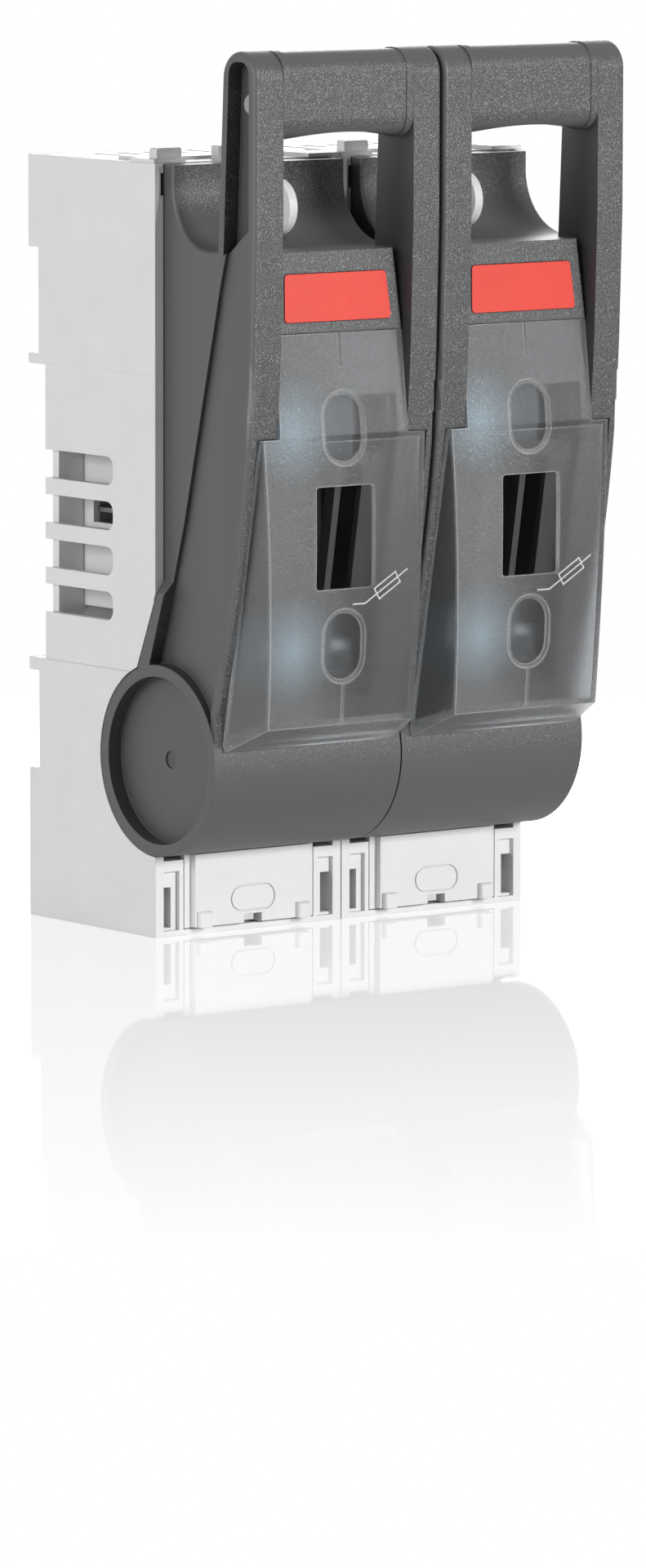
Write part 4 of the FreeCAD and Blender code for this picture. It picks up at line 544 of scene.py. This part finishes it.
@dataclass(frozen=True)
class OvalPair:
    """Two upright ovals in each cover, one above the other, as an area of a material.

    Attributes:
        pole_offset: From the device's middle to the middle of a pole.
        middle: Height midway between the two ovals.
        rise: From that height to the middle of an oval.
        half_width: Half an oval's width, with its ring.
        half_height: Half an oval's height, with its ring.
        ring: Width of the ring.
        ring_reach: Where the ring fades out and is full, as shares of its width.
        floor_fade: Width over which an oval's floor fades in.
        painted_light_left: From an oval's middle to the spot of painted light on its left.
        painted_light_reach: From the spot's middle to where it fades out, and is full.
    """

    pole_offset: float = 36.7 * MM
    middle: float = 128.25 * MM
    rise: float = 34.0 * MM
    half_width: float = 8.4 * MM
    half_height: float = 11.85 * MM
    ring: float = 0.8 * MM
    ring_reach: Reach = (0.75, 0.35)
    floor_fade: float = 0.3 * MM
    painted_light_left: float = 19.5 * MM
    painted_light_reach: Reach = (17 * MM, 1 * MM)

    def across(self, graph: ShaderGraph) -> Socket:
        """How far a place is to the right of the middle of its own pole.

        Args:
            graph: The material's nodes.

        Returns:
            The distance in metres.
        """
        within = graph.math("WRAP", graph.coordinate("X"), 2 * self.pole_offset, 0.0)
        return graph.math("SUBTRACT", within, self.pole_offset)

    def height(self, graph: ShaderGraph) -> Socket:
        """How far a place is above or below the middle of the nearer oval.

        Args:
            graph: The material's nodes.

        Returns:
            The distance in metres.
        """
        height = graph.coordinate("Z")
        for step in (self.middle, self.rise):
            height = graph.math("ABSOLUTE", graph.math("SUBTRACT", height, step))
        return height

    def beside(self, graph: ShaderGraph) -> Socket:
        """How far a place lies in a spot of painted light to the left of an oval.

        Args:
            graph: The material's nodes.

        Returns:
            1 in the middle of the spots and 0 outside them.
        """
        off = graph.math("ADD", self.across(graph), self.painted_light_left)
        return graph.remap(graph.length(off, self.height(graph)), *self.painted_light_reach)

    def distance(self, graph: ShaderGraph) -> Socket:
        """How far a place is from the middle line of the nearer oval.

        Args:
            graph: The material's nodes.

        Returns:
            The distance in metres.
        """
        straight = self.half_height - self.half_width
        height = graph.math("SUBTRACT", self.height(graph), straight)
        return graph.length(self.across(graph), graph.math("MAXIMUM", height, 0.0))

    def inside(self, graph: ShaderGraph) -> Socket:
        """Where the floors of the ovals are.

        Args:
            graph: The material's nodes.

        Returns:
            1 on the floors and 0 outside them.
        """
        edge = self.half_width - self.ring
        return graph.remap(self.distance(graph), edge, edge - self.floor_fade)

    def on_ring(self, graph: ShaderGraph) -> Socket:
        """Where the rings round the ovals are.

        Args:
            graph: The material's nodes.

        Returns:
            1 on the rings and 0 elsewhere.
        """
        off = graph.math("SUBTRACT", self.distance(graph), self.half_width - self.ring / 2)
        fades = [share * self.ring for share in self.ring_reach]
        return graph.remap(graph.math("ABSOLUTE", off), *fades)


@dataclass(frozen=True)
class FrostedMoulding:
    """A see-through moulding: frosted and sparkling, clear in its ovals, with painted highlights
    at its edges and rings, and painted light on its left and beside its ovals.

    Attributes:
        name: The material's name.
        clear: Colour of what shines through it.
        haze: Colour of its milk.
        highlight_tint: Colour of the painted highlights at edges and rings.
        painted_light: Colour of the painted light in the spots beside the ovals.
        painted_light_share: How much more milk those spots get as painted light.
        highlight_reach: Share of painted highlight at which the highlight colour starts and is
            full.
        haze_with_painted_light: Share of milk at a pole's left and right; the rise toward the
            left is painted light.
        haze_painted_light_reach: Where left and right are, from the pole's middle.
        cloud: How much darker the milk's clouds are, as a share.
        cloud_size: Distance between its clouds.
        speck_share: Share of milk in a speck.
        speck: Distance between specks.
        speck_reach: Noise from which a speck starts, and is full.
        smooth_below: Heights at which the specks start and are full.
        flank_reach: How far sideways faces look where the milk thins out.
        flank_share: Share of the milk that is left there.
        edge_highlight_share: Share of milk at edges, a painted highlight.
        milky_highlight_radius: How far the painted highlights at edges reach.
        milky_highlight_turn: Cosine of the turn at which an edge gets its painted highlight in
            full.
        ring_highlight_share: Share of milk on the ovals' rings, a painted highlight.
        oval_frost: Share of the frost that the ovals' floors have.
        roughness: Middle roughness of the clear moulding.
        rough_spread: How far that roughness strays on the grain.
        milk_roughness: Roughness of the milk.
        refraction: How much it bends light.
        specular: Strength of its gloss.
        grain: Distance between the grain's bumps.
        detail: How many finer layers the grain and the clouds have.
        depth: The grain's depth.
        edge_radius: Radius of its softened edges.
        ovals: Where its ovals are.
    """

    name: str
    clear: Colour
    haze: Colour
    highlight_tint: Colour
    painted_light: Colour = (0.34, 0.42, 0.47, 1)
    painted_light_share: float = 0.18
    highlight_reach: Reach = (0.0, 0.5)
    haze_with_painted_light: Reach = (0.4, -0.26)
    haze_painted_light_reach: Reach = (-18 * MM, 18 * MM)
    cloud: float = 0.1
    cloud_size: float = 9 * MM
    speck_share: float = 0.5
    speck: float = 0.63 * MM
    speck_reach: Reach = (0.54, 0.68)
    smooth_below: Reach = (102 * MM, 112 * MM)
    flank_reach: Reach = (0.12, 0.45)
    flank_share: float = 0.35
    edge_highlight_share: float = 0.5
    milky_highlight_radius: float = 0.42 * MM
    milky_highlight_turn: float = 0.98
    ring_highlight_share: float = 0.2
    oval_frost: float = 0.6
    roughness: float = 0.32
    rough_spread: float = 0.06
    milk_roughness: float = 0.45
    refraction: float = 1.45
    specular: float = 0.15
    grain: float = 0.7 * MM
    detail: float = 3.0
    depth: float = 0.06 * MM
    edge_radius: float = 0.3 * MM
    ovals: OvalPair = OvalPair()

    def material(self) -> bpy.types.Material:
        """Builds the finish: rough glass mixed with milk, most of it in specks, in painted light
        and in painted highlights at edges.

        Returns:
            The material.
        """
        graph = ShaderGraph(bpy.data.materials.new(self.name))
        grain = graph.noise(self.grain, self.detail)
        frost = graph.remap(self.ovals.inside(graph), 0.0, 1.0, 1.0, self.oval_frost)
        height = graph.math("MULTIPLY", grain, frost)
        normal = graph.relief(height, self.depth, self.edge_radius)
        milk = graph.shader(
            "BsdfPrincipled",
            Base_Color=self.milk_colour(graph),
            Roughness=self.milk_roughness,
            Specular_IOR_Level=self.specular,
            Normal=normal,
        )
        body = self.clear_body(graph, grain, frost, normal)
        graph.show(graph.mixed(self.milk_share(graph, frost), body, milk))
        return graph.owner

    def clear_body(self, graph: ShaderGraph, grain: Socket, frost: Socket,
                   normal: Socket) -> Socket:
        """Rough glass that lets lamps shine through it.

        Args:
            graph: The material's nodes.
            grain: The grain's height.
            frost: How frosted a place is.
            normal: The direction of the grained face.

        Returns:
            The shader.
        """
        reach = [self.roughness + way * self.rough_spread for way in (-1, 1)]
        rough = graph.remap(grain, *NOISE_REACH, *reach)
        glass = graph.shader(
            "BsdfPrincipled",
            Base_Color=self.clear,
            Roughness=graph.math("MULTIPLY", rough, frost),
            IOR=self.refraction,
            Specular_IOR_Level=self.specular,
            Transmission_Weight=1.0,
            Normal=normal,
        )
        gap = graph.shader("BsdfTransparent", Color=self.clear)
        return graph.mixed(graph.node("LightPath").outputs["Is Shadow Ray"], glass, gap)

    def painted_highlights(self, graph: ShaderGraph) -> Socket:
        """How milky a place is because it lies at an edge or on an oval's ring: painted
        highlights.

        Args:
            graph: The material's nodes.

        Returns:
            The share of milk.
        """
        # Painted highlights: milk at edges and on the ovals' rings.
        edges = graph.edge_highlight_share(self.milky_highlight_radius, self.milky_highlight_turn)
        edges = graph.math("MULTIPLY", edges, self.edge_highlight_share)
        rings = graph.math("MULTIPLY", self.ovals.on_ring(graph), self.ring_highlight_share)
        return graph.math("MAXIMUM", edges, rings)

    def milk_colour(self, graph: ShaderGraph) -> Socket:
        """Colour of the milk: cloudy, with bluish painted light beside the ovals and pale painted
        highlights at edges and rings.

        Args:
            graph: The material's nodes.

        Returns:
            The colour.
        """
        noise = graph.noise(self.cloud_size, self.detail)
        cloud = graph.blend(noise, shaded(self.haze, 1 - self.cloud), self.haze)
        # Painted light: a bluish tint in the spots left of the ovals.
        bluish = graph.tinted(self.ovals.beside(graph), cloud, self.painted_light)
        # Painted highlights: a pale colour at edges and rings.
        return graph.tinted(graph.remap(self.painted_highlights(graph), *self.highlight_reach), bluish, self.highlight_tint)

    def milk_share(self, graph: ShaderGraph, frost: Socket) -> Socket:
        """How milky a place is: haze with painted light, more to the left and beside the ovals,
        specks on the upper half, painted highlights at edges and rings.

        Args:
            graph: The material's nodes.
            frost: How frosted a place is.

        Returns:
            The share of milk.
        """
        specks = graph.remap(graph.noise(self.speck), *self.speck_reach, 0.0, self.speck_share)
        above = graph.remap(graph.coordinate("Z"), *self.smooth_below)
        # Painted light: more milk toward each pole's left, where light scattered inside the cover
        # lights it.
        haze = graph.remap(self.ovals.across(graph), *self.haze_painted_light_reach, *self.haze_with_painted_light)
        haze = graph.math("ADD", graph.math("MULTIPLY", specks, above), haze)
        sideways = graph.math("ABSOLUTE", graph.coordinate("X", "Normal"))
        flank = graph.remap(sideways, *self.flank_reach, 1.0, self.flank_share)
        # Painted light: more milk in the spots left of the ovals, where lamp light reaches parts
        # inside.
        painted_light = graph.math("MULTIPLY", self.ovals.beside(graph), self.painted_light_share)
        haze = graph.math("ADD", graph.math("MULTIPLY", haze, flank), painted_light)
        haze = graph.math("MULTIPLY", haze, frost)
        # The painted highlights at edges and rings add their milk.
        return graph.math("MINIMUM", graph.math("ADD", haze, self.painted_highlights(graph)), 1.0)


@dataclass(frozen=True)
class WorkedMetal:
    """A rolled, drawn or turned metal with fine marks along one axis.

    Attributes:
        name: The material's name.
        colour: Its colour where it is clean.
        roughness: Its middle roughness.
        stretch: How much finer its marks are along each axis.
        mark: Distance between its marks.
        mark_detail: How many finer layers the marks have.
        mark_depth: The marks' depth.
        rough_spread: How far its roughness falls and rises on the marks.
        stain: How much darker its stains are, as a share.
        stain_size: Distance between its stains.
        stain_detail: How many finer layers the stains have.
        edge_radius: Radius of its softened edges.
    """

    name: str
    colour: Colour
    roughness: float = 0.3
    stretch: Place = (1, 1, 0.04)
    mark: float = 0.25 * MM
    mark_detail: float = 3.0
    mark_depth: float = 0.01 * MM
    rough_spread: Reach = (-0.08, 0.1)
    stain: float = 0.12
    stain_size: float = 9 * MM
    stain_detail: float = 4.0
    edge_radius: float = 0.12 * MM

    def material(self) -> bpy.types.Material:
        """Builds the finish: stretched marks in gloss and relief, and a faint stain.

        Returns:
            The material.
        """
        graph = ShaderGraph(bpy.data.materials.new(self.name))
        marks = graph.noise(self.mark, self.mark_detail, self.stretch)
        stain = graph.noise(self.stain_size, self.stain_detail)
        rough = [self.roughness + step for step in self.rough_spread]
        graph.show(graph.shader(
            "BsdfPrincipled",
            Base_Color=graph.blend(stain, shaded(self.colour, 1 - self.stain), self.colour),
            Metallic=1.0,
            Roughness=graph.remap(marks, *NOISE_REACH, *rough),
            Normal=graph.relief(marks, self.mark_depth, self.edge_radius),
        ))
        return graph.owner


Finish = Moulding | SparkledMoulding | FrostedMoulding | WorkedMetal


def dress(piece: bpy.types.Object, finish: bpy.types.Material) -> None:
    """Puts one material on all of a piece.

    Args:
        piece: The piece to dress.
        finish: Its material.
    """
    if not piece.material_slots:
        piece.data.materials.append(finish)
    for slot in piece.material_slots:
        slot.material = finish
    LOG.info("dressed %s in %s", piece.name, finish.name)


def dress_poles(finishes: dict[Finish, tuple[str, ...]]) -> None:
    """Dresses nodes of both poles.

    Args:
        finishes: The nodes that each finish covers, without the pole's word.
    """
    for finish, pieces in finishes.items():
        material = finish.material()
        for pole in Pole:
            for piece in pieces:
                dress(pole.node(piece), material)


def mesh_piece(name: str, shape: bmesh.types.BMesh) -> bpy.types.Object:
    """Turns a finished mesh into a piece of the scene.

    Args:
        name: The piece's name.
        shape: Its mesh, which is freed.

    Returns:
        The new object.
    """
    data = bpy.data.meshes.new(name)
    bmesh.ops.recalc_face_normals(shape, faces=shape.faces)
    shape.to_mesh(data)
    shape.free()
    piece = bpy.data.objects.new(name, data)
    bpy.context.scene.collection.objects.link(piece)
    return piece


@dataclass
class Housings:
    """The pale housings with their terminal covers and the keys between them."""

    shell: Moulding = Moulding("housing_moulding", grey(0.73, -0.006), roughness=0.52)
    cover: Moulding = Moulding("terminal_cover_moulding", grey(0.71, -0.01), roughness=0.48)

    def build(self) -> None:
        """Dresses the housings, covers and keys."""
        dress_poles({self.shell: ("base_housing",)})
        cover = self.cover.material()
        for pole in Pole:
            for piece in ("top_terminal_cover", "bottom_terminal_cover"):
                dress(pole.node(piece), cover)
        dress(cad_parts["joining_keys"], cover)


@dataclass
class Switchgear:
    """What works inside each pole: contacts, their blocks and springs, and the arc chamber."""

    contact: WorkedMetal = WorkedMetal("plated_contact", (0.72, 0.71, 0.68, 1), 0.28)
    spring: WorkedMetal = WorkedMetal("spring_leaf", (0.52, 0.53, 0.55, 1), 0.25, (1, 0.05, 1))
    plate: WorkedMetal = WorkedMetal("arc_plate_steel", (0.36, 0.36, 0.37, 1), 0.38, (0.05, 1, 1))
    # The hinge pins' near-black grey is painted shade for the dark holes they sit in.
    pin: WorkedMetal = WorkedMetal("turned_pin", (0.1, 0.1, 0.105, 1), 0.4, (0.05, 1, 1))
    block: Moulding = Moulding("contact_block_moulding", (0.60, 0.66, 0.70, 1), roughness=0.5)
    chamber: Moulding = Moulding("arc_chamber_moulding", grey(0.66, -0.004), roughness=0.6)

    def build(self) -> None:
        """Dresses every inner piece of both poles."""
        dress_poles({
            self.contact: ("upper_contact", "lower_contact"),
            self.block: ("upper_contact_block", "lower_contact_block"),
            self.spring: ("upper_jaw_springs", "lower_jaw_springs"),
            self.plate: ("arc_plates",),
            self.chamber: ("arc_chamber",),
            self.pin: ("hinge_pins",),
        })


@dataclass
class Fasteners:
    """Bolts, nuts, washers and screws of both poles."""

    zinc: WorkedMetal = WorkedMetal("zinc_plate", (0.66, 0.67, 0.70, 1), 0.26, (1, 0.1, 1))

    def build(self) -> None:
        """Dresses the fasteners."""
        finish = self.zinc.material()
        for name in ("terminal_bolts", "terminal_washers", "terminal_nuts", "contact_screws"):
            dress(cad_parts[name], finish)


@dataclass
class Lids:
    """The dark lids with their grips, pins, lock tabs, fuse carriers and catches."""

    # The lid's third colour is the colour of its painted glints and painted edge highlights.
    shell: SparkledMoulding = SparkledMoulding(
        "lid_moulding", grey(0.068, -0.012), (0.28, 0.285, 0.295, 1),
    )
    tab: Moulding = Moulding("pale_tab_moulding", grey(0.70), roughness=0.4)
    # The grip pin's grey is darkened as painted shade for the channel it sits in.
    pin: Moulding = Moulding("grip_pin_moulding", grey(0.34), roughness=0.4)
    # The catches are pale parts; their dark blue-grey is painted shade for their place inside the
    # cover.
    catch: Moulding = Moulding("pale_catch_moulding", (0.06, 0.075, 0.09, 1), roughness=0.45)
    inner: Moulding = Moulding("carrier_moulding", grey(0.038, -0.02), roughness=0.45)
    clip: WorkedMetal = WorkedMetal("clip_steel", (0.5, 0.51, 0.53, 1), 0.25)

    def build(self) -> None:
        """Dresses the lids and what they carry."""
        dress_poles({
            self.shell: ("lid_shell", "handle_grip"),
            self.tab: ("lock_tab",),
            self.pin: ("grip_pin",),
            self.inner: ("fuse_carrier",),
            self.catch: ("fuse_catches",),
            self.clip: ("carrier_clips",),
        })


@dataclass
class LabelPlates:
    """The plain red plates on the heads of the lids."""

    finish: Moulding = Moulding(
        "red_plate", (0.68, 0.038, 0.019, 1), roughness=0.42, grain=0.9 * MM,
        depth=0.03 * MM, cloud=0.1, edge_radius=0.2 * MM,
    )

    def build(self) -> None:
        """Dresses both plates."""
        dress_poles({self.finish: ("label_plate",)})


@dataclass
class WindowCovers:
    """The frosted covers, each with a raised fuse-switch sign on its front.

    Attributes:
        cover: Finish of the covers.
        sign: Finish of the signs.
        line_width: Width of a sign's lines.
        line_height: How far the lines rise from the cover, and reach into it.
        shoulder: Share of the width and height that the lines' rounded back leaves.
        sign_start: Where a sign starts, right of the pole's middle and up.
        lead: Length of the level line that the sign starts with.
        slope: Angle of its slanted line.
        run: Length of its slanted line.
        fuse_length: Length of the fuse's box on that line.
        fuse_width: Width of the box.
        fuse_middle: Where the box's middle lies on the line, as a share.
        before: Depth of a place in front of the covers, from which rays find them.
    """

    # Each finish's last colour is the colour of its painted highlights at edges and rings.
    cover: FrostedMoulding = FrostedMoulding(
        "frosted_cover", (0.58, 0.59, 0.60, 1), grey(0.24, -0.02), grey(0.6),
    )
    sign: FrostedMoulding = FrostedMoulding(
        "raised_sign", (0.9, 0.91, 0.92, 1), grey(0.62), grey(0.7), haze_with_painted_light=(0.6, 0.6),
    )
    line_width: float = 0.5 * MM
    line_height: float = 0.25 * MM
    shoulder: float = 0.5
    sign_start: Spot = (3.0 * MM, 107.2 * MM)
    lead: float = 4.6 * MM
    slope: float = math.radians(31)
    run: float = 19.0 * MM
    fuse_length: float = 9.4 * MM
    fuse_width: float = 3.8 * MM
    fuse_middle: float = 0.53
    before: float = -1.0

    def build(self) -> None:
        """Dresses the covers and raises a sign on each."""
        cover = self.cover.material()
        sign = self.sign.material()
        for pole in Pole:
            body = pole.node("window_cover")
            dress(body, cover)
            piece = self.raise_sign(pole, body)
            dress(piece, sign)
            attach(piece, f"{pole.value}_lid")

    def strokes(self) -> list[list[Spot]]:
        """Draws the sign's lines: a lead with a slanted run, and a fuse's box on the run.

        Returns:
            Each line's points from the sign's start, across and up, in metres.
        """
        along = Vector((math.cos(self.slope), math.sin(self.slope)))
        side = Vector((-along.y, along.x))
        bend = Vector((self.lead, 0))
        middle = bend + along * self.run * self.fuse_middle
        half = along * self.fuse_length / 2
        edge = side * self.fuse_width / 2
        lead = [Vector((0, 0)), bend, bend + along * self.run]
        box = [middle + half * u + edge * v for u, v in ((-1, -1), (1, -1), (1, 1), (-1, 1))]
        return [[tuple(point) for point in line] for line in (lead, box + box[:1])]

    def raise_sign(self, pole: Pole, body: bpy.types.Object) -> bpy.types.Object:
        """Makes the sign as low ribs on the cover's front.

        Args:
            pole: The pole it belongs to.
            body: The cover that carries it.

        Returns:
            The sign's piece.
        """
        low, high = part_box(body.name)
        middle = (low[0] + high[0]) / 2
        tree = BVHTree.FromObject(body, bpy.context.evaluated_depsgraph_get())
        shape = bmesh.new()
        for stroke in self.strokes():
            places = [self.on_front(tree, middle, spot) for spot in stroke]
            for first, last in zip(places, places[1:]):
                self.add_rib(shape, first, last)
        return mesh_piece(f"{pole.value}_fuse_sign", shape)

    def on_front(self, tree: BVHTree, middle: float, spot: Spot) -> Vector:
        """Finds the place on the cover's front at a spot of the sign.

        Args:
            tree: The cover's faces.
            middle: The pole's place across.
            spot: The spot from the sign's start, across and up.

        Returns:
            The place in the part's frame.
        """
        across = middle + self.sign_start[0] + spot[0]
        height = self.sign_start[1] + spot[1]
        return tree.ray_cast(Vector((across, self.before, height)), Vector((0, 1, 0)))[0]

    def add_rib(self, shape: bmesh.types.BMesh, first: Vector, last: Vector) -> None:
        """Adds one rib with a rounded back between two places.

        Args:
            shape: The mesh to add to.
            first: Where it starts.
            last: Where it ends.
        """
        along = (last - first).normalized()
        out = Vector((0, -1, 0))
        side = along.cross(out).normalized()
        half, rise = self.line_width / 2, self.line_height
        right = [(half, -rise), (half, rise * self.shoulder), (half * self.shoulder, rise)]
        profile = [(-u, v) for u, v in right] + right[::-1]
        start, end = (
            [shape.verts.new(place + side * u + out * v) for u, v in profile]
            for place in (first - along * half, last + along * half)
        )
        for k in range(-1, len(profile) - 1):
            shape.faces.new((start[k], start[k + 1], end[k + 1], end[k]))
        shape.faces.new(start)
        shape.faces.new(end[::-1])


@dataclass
class Studio:
    """Pale floor, white surroundings, soft lamps and the camera.

    Attributes:
        camera_place: Where the camera stands.
        camera_azimuth: How far it looks to the right of straight ahead.
        camera_pitch: How far it looks down.
        camera_roll: How far it is tilted.
        focal_pixels: Its focal length in pixels of the photograph.
        image_height: The photograph's height in pixels.
        sensor: Longer side of its sensor in millimetres.
        camera_reach: How far it sees.
        floor_size: Side of the square floor.
        floor_grey: Shade of the floor where it is lit.
        floor_white: How white the floor looks near the object and far away.
        white_reach: Where near and far are, from the device's middle.
        floor_mirror: How strongly the floor mirrors the object at its foot.
        mirror_fade: Where the mirror image is full and where it ends.
        mirror_roughness: How blurred the mirror image is.
        surroundings: How strongly the surroundings light the object.
        lamps: Each lamp's name, place, side in metres and power in watts.
        aim: The place that all lamps look at.
    """

    camera_place: Place = (-1.72729, -2.27380, 0.40100)
    camera_azimuth: float = math.radians(37.206)
    camera_pitch: float = math.radians(7.156)
    camera_roll: float = math.radians(0.094)
    focal_pixels: float = 11045.8
    image_height: float = 1920.0
    sensor: float = 36.0
    camera_reach: float = 50.0
    floor_size: float = 12.0
    floor_grey: float = 0.86
    floor_white: Reach = (0.97, 1.0)
    white_reach: Reach = (0.1, 0.6)
    floor_mirror: float = 0.34
    mirror_fade: Reach = (0.0, 0.62)
    mirror_roughness: float = 0.03
    surroundings: float = 0.06
    lamps: tuple[tuple[str, Place, float, float], ...] = (
        ("front_lamp", (0.55, -2.65, 0.85), 0.9, 69.0),
        ("side_lamp", (-2.6, 0.0, 0.7), 1.1, 41.0),
        ("rear_lamp", (1.9, 1.9, 0.8), 1.2, 34.0),
        ("top_lamp", (0.2, 1.2, 1.9), 0.8, 4.0),
    )
    aim: Place = (0.0, 0.0, 0.14)

    def build(self) -> None:
        """Makes the floor, the surroundings, the lamps and the camera."""
        self.place_camera()
        self.lay_floor()
        self.set_surroundings()
        for name, place, size, power in self.lamps:
            self.hang_lamp(name, place, size, power)
        bpy.context.scene.view_settings.view_transform = "Standard"

    def place_camera(self) -> None:
        """Puts the camera where the photograph was taken from."""
        data = bpy.data.cameras.new("photo_camera")
        data.sensor_width = self.sensor
        data.lens = self.focal_pixels / self.image_height * self.sensor
        data.clip_end = self.camera_reach
        camera = bpy.data.objects.new("photo_camera", data)
        level = math.cos(self.camera_pitch)
        ahead = Vector((
            math.sin(self.camera_azimuth) * level,
            math.cos(self.camera_azimuth) * level,
            -math.sin(self.camera_pitch),
        ))
        right = ahead.cross(Vector((0, 0, 1))).normalized()
        up = right.cross(ahead)
        turn = Matrix((right, up, -ahead)).transposed()
        turn = turn @ Matrix.Rotation(self.camera_roll, 3, "Z")
        camera.matrix_world = Matrix.Translation(self.camera_place) @ turn.to_4x4()
        bpy.context.scene.collection.objects.link(camera)
        bpy.context.scene.camera = camera

    def lay_floor(self) -> None:
        """Lays a pale floor that mirrors the object faintly near its foot."""
        shape = bmesh.new()
        bmesh.ops.create_grid(shape, x_segments=1, y_segments=1, size=self.floor_size / 2)
        floor = mesh_piece("studio_floor", shape)
        floor.data.materials.append(self.floor_finish())

    def floor_finish(self) -> bpy.types.Material:
        """White floor: its own light for what looks at it, shadow and a faint mirror image.

        Returns:
            The material.
        """
        graph = ShaderGraph(bpy.data.materials.new("pale_floor"))
        far = graph.node("VectorMath", operation="LENGTH")
        graph.feed(far.inputs[0], graph.node("NewGeometry").outputs["Position"])
        distance = far.outputs["Value"]
        white = graph.remap(distance, *self.white_reach, *self.floor_white)
        backdrop = graph.mixed(
            graph.math("MULTIPLY", graph.seen_share(), white),
            graph.shader("BsdfDiffuse", Color=grey(self.floor_grey)),
            graph.shader("Emission", Color=grey(1.0), Strength=1.0),
        )
        near = graph.remap(distance, *self.mirror_fade, self.floor_mirror, 0.0)
        sight = graph.node("LightPath").outputs["Is Camera Ray"]
        graph.show(graph.mixed(
            graph.math("MULTIPLY", near, sight),
            backdrop,
            graph.shader("BsdfGlossy", Color=grey(1.0), Roughness=self.mirror_roughness),
        ))
        return graph.owner

    def set_surroundings(self) -> None:
        """White surroundings that light the object softly."""
        world = bpy.data.worlds.new("white_surroundings")
        graph = ShaderGraph(world)
        strength = graph.remap(graph.seen_share(), 0.0, 1.0, self.surroundings, 1.0)
        air = graph.shader("Background", Color=grey(1.0), Strength=strength)
        graph.show(air, "OutputWorld")
        bpy.context.scene.world = world

    def hang_lamp(self, name: str, place: Place, size: float, power: float) -> None:
        """Hangs a square soft lamp that looks at the object.

        Args:
            name: The lamp's name.
            place: Where it hangs.
            size: Length of its side in metres.
            power: Its power in watts.
        """
        data = bpy.data.lights.new(name, "AREA")
        data.size = size
        data.energy = power
        lamp = bpy.data.objects.new(name, data)
        lamp.location = place
        look = Vector(self.aim) - Vector(place)
        lamp.rotation_euler = look.to_track_quat("-Z", "Y").to_euler()
        bpy.context.scene.collection.objects.link(lamp)


def main() -> None:
    """Builds the looks in order."""
    logging.basicConfig(level=logging.INFO, format="%(name)s: %(message)s")
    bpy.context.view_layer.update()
    for assembly in (
        Studio(), Housings(), Switchgear(), Fasteners(), Lids(), LabelPlates(), WindowCovers(),
    ):
        assembly.build()
        LOG.info("built %s", type(assembly).__name__)


if __name__ == "__main__":
    main()
